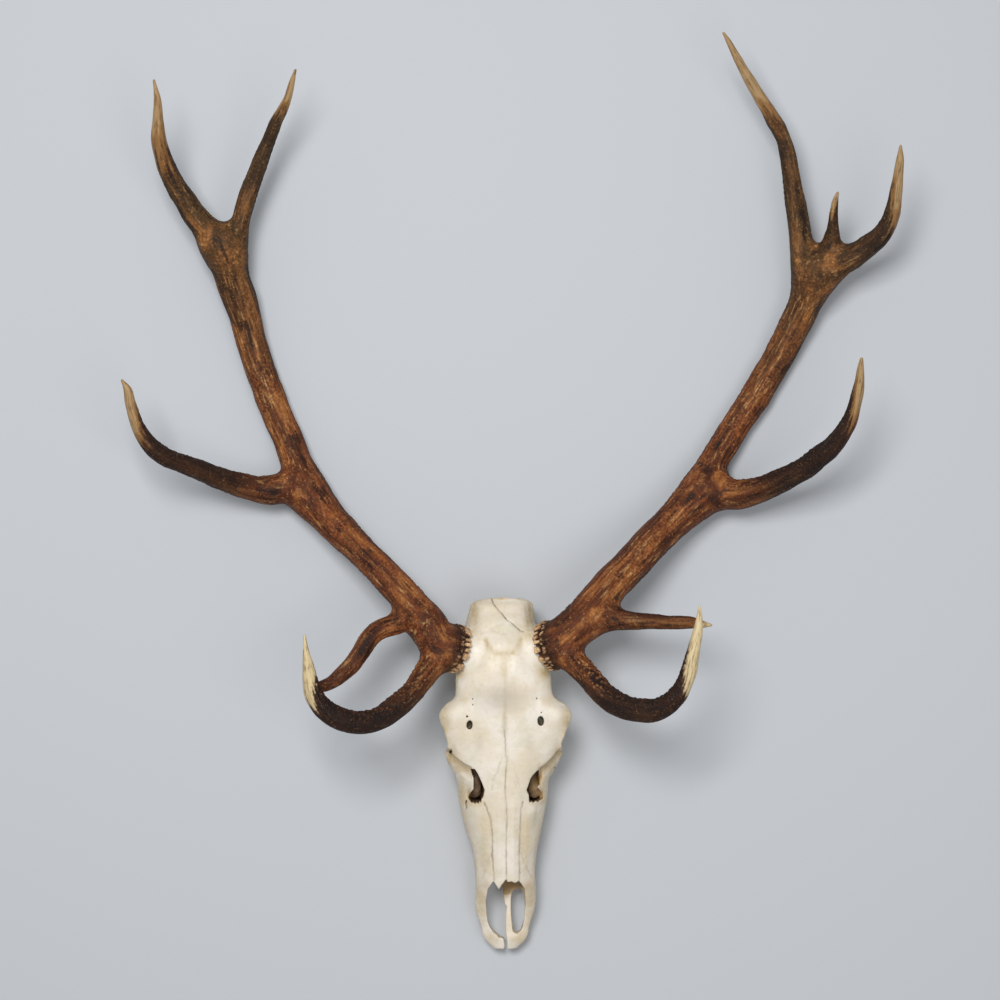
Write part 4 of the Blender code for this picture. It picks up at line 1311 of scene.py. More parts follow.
@dataclass
class Skull:
    """The upper skull, with its openings, seams and stains, and with its lengths in metres."""

    view: PhotoView
    noise: Noise
    cell: float = 0.0009
    quick_cell: float = 0.0018
    padding: float = 0.012
    step: float = 0.003
    fillet: float = 0.004
    wide_fillet: float = 0.006
    edge_fillet: float = 0.0012
    pedicle_radius: float = 0.0195
    pedicle_length: float = 0.042
    pedicle_flare: float = 1.45
    # Middle of the eye socket: offset from the midline (mm), row, height (mm)
    eye: Triple = (62, 729, 73)
    orbit_radii: Triple = (0.031, 0.0250, 0.0240)
    orbit_back: Triple = (0.016, 0.0145, -0.005)
    back_radii: Triple = (0.018, 0.018, 0.014)
    # Both ends of the nerve's hole, inwards, back and up from the socket's middle
    nerve: tuple[Triple, ...] = ((0.026, 0.008, -0.004), (0.044, 0.016, -0.004))
    nerve_radius: float = 0.0034
    # Row and height (mm) of the upper edge of the back of the head
    crest: Pair = (597.5, 88)
    occiput_slope: float = 0.2
    # Lower and upper ends of the openings' cuts
    opening_heights: Pair = (0.029, 0.1)
    gap_heights: Pair = (-0.01, 0.032)
    tear_heights: Pair = (0.062, 0.112)
    # Height (mm) that the torn openings' outlines are seen at
    tear_level: float = 88
    # Rows from which the muzzle is lower, and how much
    muzzle_row: float = 870
    muzzle_drop: float = 0.03
    mouth_row: float = 860
    mouth_drop: float = 0.011
    socket_gap: float = 0.0003

    def build(self, teeth: list["Tooth"], material: bpy.types.Material) -> bpy.types.Object:
        """Make the skull's mesh.

        Args:
            teeth: the cheek teeth, for their sockets.
            material: the bone finish.

        Returns:
            The piece.
        """
        space = self._shape()
        self._carve(space, teeth)
        vertices, quads = space.skin()
        obj = make_mesh("skull_bone", relax(vertices, quads, 2), quads)
        points, normals = mesh_points(obj.data)
        move_points(obj.data, above_floor(points + self._relief(points, normals)))
        thin_out(obj, FACE_LIMIT)
        self._paint(obj.data)
        obj.data.materials.append(material)
        return obj

    def _rows(self, sections: tuple[tuple[float, ...], ...]) -> Array:
        """Sections as y, left, right, top, widest, lowest and squareness, in metres."""
        rows = []
        for row, left, right, top, widest, lowest, power in sections:
            start, end = self.view.points([(left, row, widest), (right, row, widest)])
            rows.append((start[1], start[0], end[0], top * MM, widest * MM, lowest * MM, power))
        return np.array(rows)

    def _shape(self) -> Field:
        """The skull's solid body."""
        low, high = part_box("skull")
        cell = quick_or(self.cell)
        space = Field(np.array(low) - self.padding, np.array(high) + self.padding, cell)
        space.loft(self._rows(SKULL_SECTIONS))
        self._slope_occiput(space)
        for side in Side:
            for stations in HOLLOWS.values():
                space.tube(self.view.side_path(side, stations, self.step), self.wide_fillet, carve=True)
            for name, stations in SIDE_PARTS.items():
                soft = self.wide_fillet if name in WIDELY_JOINED else self.fillet
                space.tube(self.view.side_path(side, stations, self.step), soft)
        for burr, axis in (LEFT_BURR, RIGHT_BURR):
            end = self.view.point(*burr)
            out = np.array(axis) / np.linalg.norm(axis)
            start = end - out * self.pedicle_length
            foot = self.pedicle_radius * self.pedicle_flare
            knots = np.array([(*start, foot), (*end, self.pedicle_radius)])
            space.tube(smooth_path(knots, self.step), 0.008)
        return space

    def _eye(self, side: Side) -> Array:
        """Middle of an eye socket."""
        offset, row, height = self.eye
        stations = ((offset, row, height, 1), (offset, row + 1, height, 1))
        return self.view.side_path(side, stations, self.step)[0, :3]

    def _slope_occiput(self, space: Field) -> None:
        """Cut the back of the head at a slope, so that its upper edge overhangs."""
        crest = self.view.point(self.view.midline, *self.crest)
        part, (_, y, z) = space.window(crest - (0.06, 0.04, 0.09), crest + (0.06, 0.02, 0.03))
        plane = crest[1] - np.maximum(crest[2] - z, 0) * self.occiput_slope
        cut = np.broadcast_to(plane - y, space.values[part].shape)
        space.apply(part, cut, 0.002, True)

    def _carve(self, space: Field, teeth: list["Tooth"]) -> None:
        """Cut the openings out of the body."""
        space.loft(self._rows(NOSE_SECTIONS), 0.002, carve=True)
        for side in Side:
            for stations in INNER_PARTS.values():
                space.tube(self.view.side_path(side, stations, self.step), 0.003)
        space.loft(self._rows(PALATE_SECTIONS), self.fillet, carve=True)
        space.prism(self.view.points(OPENING)[:, :2], *self.opening_heights, self.edge_fillet)
        for gap in (LEFT_GAP, RIGHT_GAP):
            space.prism(self.view.points(gap)[:, :2], *self.gap_heights, self.edge_fillet)
        for tear in (LEFT_TEAR, RIGHT_TEAR):
            outline = self.view.points([(column, row, self.tear_level) for column, row in tear])
            space.prism(outline[:, :2], *self.tear_heights, 0.0010)
        for side in Side:
            eye = self._eye(side)
            inwards = np.array((-side.value, 1, 1))
            space.ellipsoid(eye, self.orbit_radii, 0.003, carve=True)
            space.ellipsoid(eye + inwards * self.orbit_back, self.back_radii, 0.003, carve=True)
            nerve = [(*(eye + inwards * end), self.nerve_radius) for end in self.nerve]
            space.tube(np.array(nerve), 0.001, carve=True)
        for ends, radius, soft in TUNNELS:
            tunnel = [(*self.view.point(self.view.midline, *end), radius) for end in ends]
            space.tube(np.array(tunnel), soft, carve=True)
        for column, row, height, wide, tall, tilt, depth in FORAMINA + SLITS:
            ring = oval(column, row, wide, tall, tilt)
            outline = self.view.points(np.column_stack((ring, np.full(len(ring), height))))
            space.prism(outline[:, :2], (height - depth) * MM, (height + 12) * MM, 0.0006)
        for burr, axis in (LEFT_BURR, RIGHT_BURR):
            space.cut_flat(self.view.point(*burr), np.array(axis) / np.linalg.norm(axis), PEDICLE_TOP, 0.038)
        for tooth in teeth:
            space.prism(tooth.outline(self.socket_gap), -0.01, tooth.root_top + self.socket_gap, 0.0)

    def _relief(self, points: Array, normals: Array) -> Array:
        """Moves of the skull's points for its dents, seams and rough skin."""
        seen = self.view.pixels(points)
        level = points[:, 2] + (seen[:, 1] > self.muzzle_row) * self.muzzle_drop
        top = ease(0.1, 0.5, normals[:, 2]) * ease(0.055, 0.064, level)
        drop = np.zeros(len(points))
        for dent in DENTS:
            gap = ((seen[:, 0] - dent.column) / dent.half_width) ** 2
            gap += ((seen[:, 1] - dent.row) / dent.half_height) ** 2
            drop += dent.depth * MM * np.exp(-gap * 1.2)
        for step in STEPS:
            drop += step.depth * MM * step.mask(seen)
        moves = np.zeros_like(points)
        moves[:, 2] -= drop * top
        groove = np.zeros(len(points))
        for seam in SEAMS:
            groove = np.maximum(groove, seam.depth * MM * self._seam_mask(seam, seen))
        skin = 0.00035 * self.noise.rough(points / 0.018, 3) + 0.00012 * self.noise.rough(points / 0.004, 2)
        moves += normals * (skin - groove * top)[:, None]
        return moves

    def _seam_mask(self, seam: Seam, seen: Array) -> Array:
        """How deep each place lies in a seam, from 0 to 1."""
        line = np.array(seam.line)
        low, high = line.min(axis=0) - 6, line.max(axis=0) + 6
        near = np.flatnonzero(np.all((seen > low) & (seen < high), axis=1))
        mask = np.zeros(len(seen))
        flat = np.column_stack((seen[near] / 3.1, np.zeros(len(near))))
        shift = np.column_stack((self.noise.smooth(flat), self.noise.smooth(flat + 40)))
        gap = line_distance(seen[near] + shift * seam.wiggle, line)
        mask[near] = np.exp(-(gap / seam.width) ** 2)
        return mask

    def _paint(self, mesh: bpy.types.Mesh) -> None:
        """Paint the masks that the finish reads."""
        points, normals = mesh_points(mesh)
        seen = self.view.pixels(points)
        above = points[:, 2] > 0.055 - (seen[:, 1] > self.muzzle_row) * self.muzzle_drop
        top = ease(0.05, 0.4, normals[:, 2]) * above
        seam = np.zeros(len(points))
        # Yellowed places, with ochre painted shade in some of the blots
        stain = self._blots(STAINS_AND_SHADE, seen)
        patchy = 0.45 + 0.55 * ease(-0.6, 0.3, self.noise.smooth(points / 0.012))
        for line in SEAMS:
            mask = self._seam_mask(line, seen) * patchy
            seam = np.maximum(seam, line.tone * mask)
            # Ochre along some seams; along the crescent under the raised oval it is painted shade
            stain = np.maximum(stain, line.ochre * mask)
        # Painted shade below the forehead plate's edges, as dark seam colour and ochre
        for step in STEPS:
            mask = step.mask(seen)
            seam = np.maximum(seam, 0.24 * mask)
            stain = np.maximum(stain, 0.8 * mask)
        drop = np.where(seen[:, 1] > self.mouth_row, self.mouth_drop, 0)
        # Ochre painted shade on steep sides, where the surface turns away from the top
        edge = ease(0.6, 0.1, normals[:, 2]) * 0.5
        stain = np.maximum(stain * ease(-0.2, 0.3, normals[:, 2]), edge)
        gold = self._blots(GOLDEN, seen) * ease(0.078, 0.070, points[:, 2] + drop)
        rim = self._blots(RIM_GOLDEN, seen) * (0.4 + 0.6 * patchy)
        paint(mesh, {
            "seam": seam * top, "stain": np.clip(stain, 0, 1), "inner": self._inner_mask(points),
            "gold": np.maximum(gold, rim), "pit_shade": self._pit_shade_mask(points, seen),
            "grey_shade": self._blots(GREY_SHADE, seen) * top})

    @staticmethod
    def _blots(table: tuple[tuple[float, ...], ...], seen: Array) -> Array:
        """Soft oval blots, from 0 to 1.

        Args:
            table: column, row, half width and half height in pixels, strength.
            seen: column and row that each place is seen at.

        Returns:
            The strongest blot at each place.
        """
        mask = np.zeros(len(seen))
        for column, row, half_width, half_height, strength in table:
            gap = ((seen[:, 0] - column) / half_width) ** 2 + ((seen[:, 1] - row) / half_height) ** 2
            mask = np.maximum(mask, strength * np.exp(-gap))
        return mask

    def _inner_mask(self, points: Array) -> Array:
        """Which places lie inside the nose, for its darker inner bone, and where painted shade deepens into
        the eye sockets.
        """
        rows = self._rows(NOSE_SECTIONS)
        rows = rows[np.argsort(rows[:, 0])]
        left, right, top, widest, lowest, _ = smooth_through(points[:, 1], rows[:, 0], rows[:, 1:]).T
        half = (right - left) / 2
        tall = np.where(points[:, 2] > widest, top - widest, widest - lowest)
        across = np.abs(points[:, 0] - (left + right) / 2) / half
        ring = (across ** 2 + (np.abs(points[:, 2] - widest) / tall) ** 2) ** 0.5
        within = (points[:, 1] > rows[0, 0] - 0.001) & (points[:, 1] < rows[-1, 0] + 0.001)
        inner = ease(1.10, 1.0, ring) * within
        # Painted shade inside each eye socket, darker towards its depth
        for side in Side:
            eye = self._eye(side)
            gap = np.linalg.norm((points - eye) / self.orbit_radii, axis=1)
            depth = side.value * (eye[0] - points[:, 0])
            inner = np.maximum(inner, 0.75 * ease(1.3, 1.04, gap) * ease(0.002, 0.030, depth))
        return inner

    @staticmethod
    def _pit_shade_mask(points: Array, seen: Array) -> Array:
        """Where painted shade goes: which places lie in one of the small holes."""
        mask = np.zeros(len(points))
        for hole in FORAMINA + SLITS:
            column, row, height, wide, tall, _, depth = hole
            gap = np.hypot((seen[:, 0] - column) / wide, (seen[:, 1] - row) / tall)
            near = (points[:, 2] > (height - depth - 6) * MM) * (0.6 if hole in SLITS else 1.0)
            mask = np.maximum(mask, ease(1.12, 0.9, gap) * near)
        return mask


@dataclass
class Tooth:
    """A cheek tooth of one or two lobes, each with a crescent-shaped fold."""

    name: str
    lobes: int
    side: Side
    cell: float = 0.00045
    quick_cell: float = 0.0009
    corner_roundness: float = 0.6
    waist_depth: float = 0.12
    waist_spread: float = 0.24
    corners: int = 40

    def __post_init__(self) -> None:
        """Read the tooth's place from the frame."""
        low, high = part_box(self.name)
        self.low = np.array(low)
        self.high = np.array(high)
        self.middle = (self.low + self.high) / 2
        self.size = self.high - self.low
        self.root_top = float(self.high[2])

    def outline(self, grow: float) -> Array:
        """The tooth's outline from above, with a waist between its lobes.

        Args:
            grow: how far the outline is widened in metres.

        Returns:
            Corners as x, y.
        """
        corners = []
        depth = self.waist_depth if self.lobes == 2 else 0.0
        for k in range(self.corners):
            angle = math.tau * k / self.corners
            across, along = (math.copysign(abs(v) ** self.corner_roundness, v)
                             for v in (math.cos(angle), math.sin(angle)))
            waist = 1 - depth * math.exp(-(along / self.waist_spread) ** 2)
            corners.append((self.middle[0] + across * waist * (self.size[0] / 2 + grow),
                            self.middle[1] + along * (self.size[1] / 2 + grow)))
        return np.array(corners)

    def build(self, material: bpy.types.Material) -> bpy.types.Object:
        """Make the tooth's mesh.

        Args:
            material: the enamel finish.

        Returns:
            The piece.
        """
        space = Field(self.low - 0.002, self.high + 0.002, quick_or(self.cell))
        space.prism(self.outline(-0.0004), 0.0, self.root_top, 0.0, carve=False)
        lobe_length = self.size[1] / self.lobes
        thick_rib, thin_rib = 0.0014, 0.0009
        for k in range(self.lobes):
            y = self.low[1] + lobe_length * (k + 0.5)
            self._fold(space, y, lobe_length)
            self._valley(space, y - lobe_length / 2)
            self._style(space, y - lobe_length / 2, thick_rib)
            self._style(space, y, thin_rib)
        self._valley(space, self.high[1])
        self._style(space, self.high[1], thick_rib)
        vertices, quads = space.skin()
        obj = make_mesh(f"{self.name}_enamel", relax(vertices, quads, 1), quads)
        points, normals = mesh_points(obj.data)
        points[:, 2] = np.clip(points[:, 2], 0.0, None)
        points[:, :2] += normals[:, :2] * (0.00012 * np.sin(points[:, 2] * 5200))[:, None]
        move_points(obj.data, points)
        obj.data.shade_smooth()
        fold = ease(0.0004, 0.0014, points[:, 2]) * ease(-0.75, -0.1, normals[:, 2])
        fold *= ease(0.0030, 0.0012, points[:, 2])
        gum = ease(0.0065, 0.011, points[:, 2]) * 0.55
        paint(obj.data, {"fold": np.clip(np.maximum(fold, gum), 0, 1)})
        obj.data.materials.append(material)
        return obj

    def _fold(self, space: Field, y: float, length: float) -> None:
        """A crescent groove in the chewing face of one lobe."""
        arc = []
        for turn in math.pi * (np.arange(9) / 8 - 0.5):
            x = self.middle[0] + self.side.value * (0.16 - 0.26 * math.cos(turn)) * self.size[0]
            arc.append((x, y + math.sin(turn) * length * 0.30, 0.0002, 0.0009))
        space.tube(np.array(arc), 0.0003, carve=True)
        rim = [(spot[0] + self.side.value * 0.0045, spot[1] * 0.8 + y * 0.2, 0.0, 0.0006) for spot in arc]
        space.tube(np.array(rim), 0.0003, carve=True)

    def _style(self, space: Field, y: float, radius: float) -> None:
        """A rib down the cheek side of the crown."""
        y = min(max(y, self.low[1] + radius), self.high[1] - radius)
        x = self.middle[0] + self.side.value * (self.size[0] / 2 - radius - 0.0004)
        rib = np.array([(x, y, radius + 0.0002, radius), (x, y, 0.011, radius * 0.8)])
        space.tube(rib, 0.0010)

    def _valley(self, space: Field, y: float) -> None:
        """A groove round the crown between two lobes."""
        near, far = (self.middle[0] + edge * (self.size[0] / 2 + 0.0008) for edge in (-1, 1))
        for rows in (((near, y, -0.001, 0.0024), (near, y, 0.011, 0.0018)),
                     ((far, y, -0.001, 0.0020), (far, y, 0.011, 0.0014)),
                     ((near, y, -0.0008, 0.0018), (far, y, -0.0008, 0.0018))):
            space.tube(np.array(rows), 0.0008, carve=True)


@dataclass(frozen=True)
class Studio:
    """Plain pale floor, soft light from above, and the photograph's camera."""

    floor_colour: str = "C3C6CA"
    floor_half: float = 6.0
    sensor: float = 36.0
    world_colour: str = "EEF0F3"
    world: float = 0.34

    def build(self, view: PhotoView) -> None:
        """Add the floor, the lights and the view's camera."""
        bpy.context.scene.view_settings.view_transform = "Standard"
        self._floor()
        self._camera(view)
        for light in LIGHTS:
            self._light(*light)
        world = bpy.data.worlds.new("studio")
        world.use_nodes = True
        background = world.node_tree.nodes["Background"]
        background.inputs["Color"].default_value = linear(self.world_colour)
        background.inputs["Strength"].default_value = self.world
        bpy.context.scene.world = world

    def _floor(self) -> None:
        """A pale matt floor under the object."""
        half = self.floor_half
        corners = np.array([(-half, -half, 0), (half, -half, 0), (half, half, 0), (-half, half, 0)])
        floor = make_mesh("floor", corners, np.array([(0, 1, 2, 3)]))
        m = Finish("floor")
        m.shader.inputs["Base Color"].default_value = linear(self.floor_colour)
        m.shader.inputs["Roughness"].default_value = 0.9
        floor.data.materials.append(m.material)

    def _camera(self, view: PhotoView) -> None:
        """The camera, looking straight down over the photograph's centre."""
        data = bpy.data.cameras.new("camera")
        half = view.centre * view.pixel_size(view.forehead_height)
        distance = view.camera_height - view.forehead_height
        data.sensor_width = self.sensor
        data.lens = self.sensor / 2 * distance / half
        data.clip_end = 50
        camera = bpy.data.objects.new("camera", data)
        camera.location = (-view.origin[0], -view.origin[1], view.camera_height)
        bpy.context.scene.collection.objects.link(camera)
        bpy.context.scene.camera = camera

    def _light(self, name: str, place, size: float, power: float) -> None:
        """A square soft light, turned to the object."""
        data = bpy.data.lights.new(name, "AREA")
        data.size = size
        data.energy = power
        light = bpy.data.objects.new(name, data)
        light.location = place
        light.rotation_euler = (-Vector(place)).to_track_quat("-Z", "Y").to_euler()
        bpy.context.scene.collection.objects.link(light)


# Lights of the studio: name, place, size (m) and power (W)
LIGHTS = (("key", (-0.45, 0.75, 2.9), 0.9, 60.0), ("fill", (0.8, -0.7, 2.8), 1.4, 16.0))

# Points that are compared with a branch at once
CHUNK = 8192
# Pearls of the burr's rim, in each of its two rows
RIM_PEARLS = 28
# Rows of pearls: count, start and end along the antler (m), share of the burr's radius, size (mm)
PEARL_ROWS = (
    (RIM_PEARLS, -0.0046, 0.0004, 0.955, 2.85), (RIM_PEARLS, 0.0036, 0.0052, 0.94, 1.9),
    (27, 0.0080, 0.0096, 0.90, 2.2), (24, 0.0128, 0.0140, 0.85, 2.1),
)
# Disc that the pearls sit on: place along the antler (m) and share of the burr's radius
BURR_DISC = ((-0.0020, 0.885), (0.0040, 0.875))
# Where the antler ends behind the burr's middle, and where its pedicle starts, in metres
BURR_FOOT = 0.0042
PEDICLE_TOP = -0.0045

# Tunnels on the midline, to the brain and down the throat: rows and heights (mm) of both ends,
# radius and fillet (m)
TUNNELS = ((((585, 50), (632, 58)), 0.0108, 0.002), (((722, 62), (700, 16)), 0.011, 0.003))
# Side parts that join the skull with a wide fillet
WIDELY_JOINED = ("cheek_arch", "brow_edge", "tooth_ridge")

# Holes in the forehead: column, row, surface height (mm), half sizes, tilt, depth (mm)
FORAMINA = (
    (469.6, 724.8, 107, 3.0, 4.5, 14, 5), (540.7, 720.9, 108, 3.2, 4.9, -14, 5),
    (467.1, 716.4, 109, 0.9, 1.0, 0, 3), (472.6, 699, 112, 0.6, 0.7, 0, 1),
    (472.8, 704.6, 111, 0.5, 0.6, 0, 1), (536.8, 698.4, 112, 0.6, 0.8, 0, 1),
    (541.4, 712.6, 110, 0.5, 0.6, 0, 1), (450.6, 751.4, 84, 1.7, 2.2, 40, 8),
    (555.2, 768.2, 66, 1.0, 1.2, 0, 4),
)
# Slits in the same form
SLITS = ((466.2, 804.6, 76, 1.0, 4.6, 8, 6),)

# Yellowed places, and ochre painted shade beside the burrs, on the braincase's sides and in the pits in
# front of the eyes: column, row, half width and half height in pixels, strength
STAINS_AND_SHADE = (
    (458, 673, 7, 6, 0.95), (546, 672, 7, 6, 1.0), (444, 728, 5, 28, 0.8), (567, 726, 5, 24, 0.8),
    (505, 606, 34, 10, 0.3), (505, 654, 15, 3, 0.5), (488, 646, 3, 7, 0.45), (519, 645, 3, 7, 0.45),
    (450, 757, 6, 8, 0.95),
    (560, 753, 6, 9, 0.9), (459, 768, 7, 7, 0.7), (551, 768, 6, 7, 0.6), (462, 792, 5, 18, 0.7),
    (543, 790, 4, 18, 0.55), (474, 612, 5, 20, 0.8), (530, 614, 5, 20, 0.75), (501, 598, 10, 2.5, 0.8),
    (503.5, 670, 3, 16, 0.4), (505, 718, 2.5, 16, 0.45), (486, 845, 6, 45, 0.4), (525, 845, 6, 45, 0.4),
    (466, 835, 5, 30, 0.4), (541, 835, 4, 30, 0.3), (480, 900, 7, 28, 0.55), (531, 900, 7, 28, 0.55),
    (492, 938, 9, 8, 0.5), (519, 938, 8, 8, 0.5), (508, 920, 4, 16, 0.35), (497, 690, 34, 10, 0.25),
    (471, 633, 8, 4, 0.6), (529, 635, 6, 5, 0.6), (464, 700, 6, 6, 0.4), (547, 702, 6, 6, 0.4),
    (477, 803, 7, 3, 0.6), (535, 803, 7, 3, 0.6),
)
# Golden brown bone at the nose's mouth and in the tear openings
GOLDEN = (
    (513, 886, 13, 6, 1.0), (505, 890, 5, 8, 0.9), (523, 895, 3, 8, 0.5), (489, 884, 5, 5, 0.5),
    (536, 781, 5, 10, 1.0), (540, 798, 4, 5, 0.8), (472, 784, 3, 8, 0.5), (470, 801, 4, 4, 0.8),
)
# The same bone on the openings' sunk rims
RIM_GOLDEN = (
    (539.4, 778, 3.0, 9, 1.0), (541.2, 795, 2.6, 6, 0.9), (469, 796, 2.6, 8, 0.8),
    (473, 772, 1.6, 4, 0.4),
)
# Grey painted shade, mostly in the forehead's hollows and the troughs beside the nose
GREY_SHADE = (
    (502, 698, 28, 14, 0.85), (505, 612, 26, 10, 0.25), (479, 745, 5, 12, 0.35), (531, 747, 4, 12, 0.35),
    (504, 640, 12, 8, 0.3),
    (488, 862, 3, 3, 0.5), (470, 828, 6, 8, 0.3), (535, 822, 5, 8, 0.3), (505, 722, 3, 14, 0.4),
    (492, 630, 2, 2, 0.5), (529, 612, 2.5, 10, 0.3),
)

# Cross-sections: row, left and right edge, top, widest and lowest height (mm), squareness
SKULL_SECTIONS = (
    (598, 482, 526, 84, 66, 42, 2.4), (602, 474, 531, 92, 68, 34, 2.4),
    (612, 469, 533, 99, 68, 32, 2.2), (622, 466, 535, 106, 68, 32, 2.2),
    (632, 463, 541, 111, 68, 32, 2.2), (645, 461, 544, 117, 72, 33, 2.2),
    (662, 459, 547, 120, 76, 35, 2.3), (676, 456, 551, 120.5, 86, 37, 2.4),
    (690, 455.5, 552, 120, 92, 40, 2.5), (697, 454.5, 554, 119, 93, 41, 2.5),
    (702, 450.5, 559.5, 118, 93, 41, 2.6), (711, 441, 570, 116, 93, 40, 2.7),
    (730, 443, 567, 111.5, 86, 35, 2.6), (745, 446, 562, 107.5, 78, 28, 2.4),
    (760, 448, 557.5, 104, 66, 20, 2.3), (775, 455, 550, 100, 54, 13, 2.3),
    (800, 459, 547, 93, 46, 11, 2.2), (825, 464.5, 542, 85.5, 42, 11, 2.2),
    (850, 472.5, 537, 78, 40, 13, 2.2), (870, 475, 535, 72, 38, 16, 2.2),
    (888, 475.7, 535.8, 64, 36, 18, 2.2), (905, 475.2, 535, 47, 32, 18, 2.3),
    (925, 480.6, 529.7, 34, 25, 15, 2.4), (940, 486, 524.8, 28, 21, 13, 2.4),
    (948, 494, 516.5, 24, 19, 15, 2.2),
)
NOSE_SECTIONS = (
    (716, 488, 522, 88, 70, 50, 2.0), (745, 474, 537, 96, 66, 40, 2.0),
    (775, 469, 541, 95, 60, 32, 2.0), (800, 470, 540, 88, 54, 30, 2.0),
    (850, 481, 529, 73, 48, 29, 2.0), (880, 484, 526, 66, 46, 28, 2.0),
    (896, 486, 524, 60, 44, 29, 2.0),
)
PALATE_SECTIONS = (
    (742, 498, 512, 22, 8, -6, 2.0), (762, 484, 526, 24, 6, -10, 2.0),
    (800, 484, 526, 23, 6, -10, 2.0), (840, 487, 523, 22, 6, -10, 2.0),
    (880, 492, 518, 21, 6, -10, 2.0),
)
# Parts beside the midline: offset (mm), row, height (mm), radius (mm)
SIDE_PARTS = {
    "cheek_arch": (
        (46, 765, 36, 8), (53, 750, 44, 8.5), (58, 730, 47, 6.5), (57, 713, 51, 5.5),
        (51, 700, 55, 5), (45, 688, 59, 5), (41, 676, 61, 6), (36, 664, 62, 8), (30, 655, 62, 10),
    ),
    "eye_bar": ((62, 707, 95, 4.5), (62.5, 708, 84, 4.2), (61, 709, 70, 4.2), (57, 710, 52, 5.5)),
    "brow_edge": (
        (46, 697, 99, 4.0), (54, 702.5, 98, 3.8), (62, 707, 97, 3.4), (67.4, 710.6, 96, 3.0),
        (66.4, 718, 95, 3.6), (65.6, 726, 95, 4.0), (64.8, 735, 94, 4.0), (63.4, 743, 89, 4.4),
        (61.4, 751, 78, 5), (57, 759, 62, 7), (49, 768, 44, 9),
    ),
    "tooth_ridge": (
        (35, 744, 22, 11), (37.5, 762, 21, 12), (37, 785, 20, 12), (34, 808, 20, 11.5),
        (30, 828, 20, 10), (27, 845, 21, 8),
    ),
    "condyle": ((7, 613, 33, 7), (13, 606.5, 36, 8), (18, 605.5, 44, 8), (18, 609, 53, 6)),
    "neck_process": ((24, 614, 56, 9), (27, 617, 40, 7.5), (27, 620, 26, 5), (25, 624, 15, 3.2)),
    "neck_crest": (
        (0, 601.5, 85, 3), (12, 601.5, 84.5, 3), (21, 604, 80, 3), (27, 610, 71, 3), (29, 617, 60, 4),
    ),
    "ear_bulla": ((24, 634, 38, 7), (22, 646, 34, 8.5), (18, 656, 34, 6)),
    "wing_bone": ((13, 655, 38, 6), (14, 680, 34, 5), (16, 705, 26, 4.5), (17, 728, 22, 5)),
}
INNER_PARTS = {
    "turbinate": ((9, 740, 62, 6), (13, 765, 60, 9), (15, 790, 57, 10), (13, 820, 53, 9), (9, 850, 47, 6)),
    "jaw_cave": ((33, 774, 66, 4), (27, 786, 72, 6), (26, 797, 75, 8), (28, 808, 76, 8), (28, 822, 66, 6)),
    "tear_wall": ((38, 766, 57, 7), (37, 774, 57, 7.5), (35.5, 784, 56, 7.5), (35, 792, 54, 7)),
}
HOLLOWS = {
    "temple": (
        (62, 708, 70, 13), (56, 696, 70, 15), (50, 682, 69, 16), (46, 666, 66, 14), (44, 652, 62, 10),
    ),
}
# Outlines of the nose's mouth and of the gaps that go through to the floor: column, row, height (mm)
OPENING = (
    (506, 879, 66), (502, 884.5, 66), (498.9, 889.6, 66), (493.5, 881, 66), (487.9, 888, 50),
    (486, 900, 42), (486.5, 913, 36), (488, 922, 32), (494.5, 934, 27), (502, 941, 24),
    (512, 938, 24), (517, 934, 26), (522, 928, 30), (524, 919, 34), (525.2, 904, 42),
    (524.6, 888, 50), (519, 881, 66), (515, 883, 66), (511, 881, 66), (508, 882, 66),
)
LEFT_GAP = (
    (493.4, 880, 30), (488, 888, 30), (486, 900, 30), (486.5, 913, 28), (488, 922, 26),
    (490.6, 927, 24), (494, 931.8, 24), (497.4, 934, 22),
    (498.6, 936.6, 22), (503.4, 937.2, 22), (504.6, 943, 22), (503.9, 954, 22),
    (507.6, 954, 22), (507.2, 941, 22), (505.9, 931, 24), (505.7, 921, 25), (505.9, 913, 26),
    (506.6, 906, 27), (504.8, 903.6, 27), (503.6, 896, 28), (503.1, 888, 30), (501, 884, 30),
)
RIGHT_GAP = (
    (521.8, 890, 30), (524, 895, 30), (525, 906.5, 29), (524, 919.5, 26), (520.8, 930, 25),
    (516.8, 933.2, 24), (513.2, 931, 24), (511.8, 923, 25), (510.8, 910, 27), (510.9, 898, 28),
    (512.6, 891, 30), (517, 889, 30),
)
# Torn openings in front of the eyes: column, row
LEFT_TEAR = (
    (470.6, 768), (475, 768.2), (478.3, 773.3), (481.7, 781.7), (484.9, 789.4), (484.2, 793),
    (483.2, 797), (481.6, 799), (481, 803.4), (479.6, 801.6), (478.4, 804.4), (476.6, 802.6),
    (475.2, 804.6), (473.4, 803), (471.6, 804), (469.6, 801.4), (468, 798.6), (470, 793.4),
    (473.4, 789.4), (473.8, 783), (473.7, 778), (471.9, 773.3),
)
RIGHT_TEAR = (
    (539, 769), (536, 771), (532.6, 774.6), (530.4, 778), (528.6, 783.4), (526.6, 790.4),
    (528.8, 795), (529, 799), (529.6, 803.4), (531.6, 801.8), (533.2, 803.6), (535.6, 802),
    (538, 803.6), (540.6, 801.6), (543.2, 800.4), (542.6, 795), (539.8, 790.6), (537.2, 787.6),
    (539.6, 785), (538.6, 777),
)
STEPS = (
    # Lower edges of the forehead's plate, in front of the eyes
    Step(((441, 741), (445.5, 745), (449, 750), (454, 756), (460, 761), (465, 764.4),
          (470.5, 767)), 5.5, 15),
    Step(((540.5, 767.6), (545.5, 764), (551, 758.4), (555.6, 752.6), (560, 748.4), (568, 745)), 5.5, 15),
)
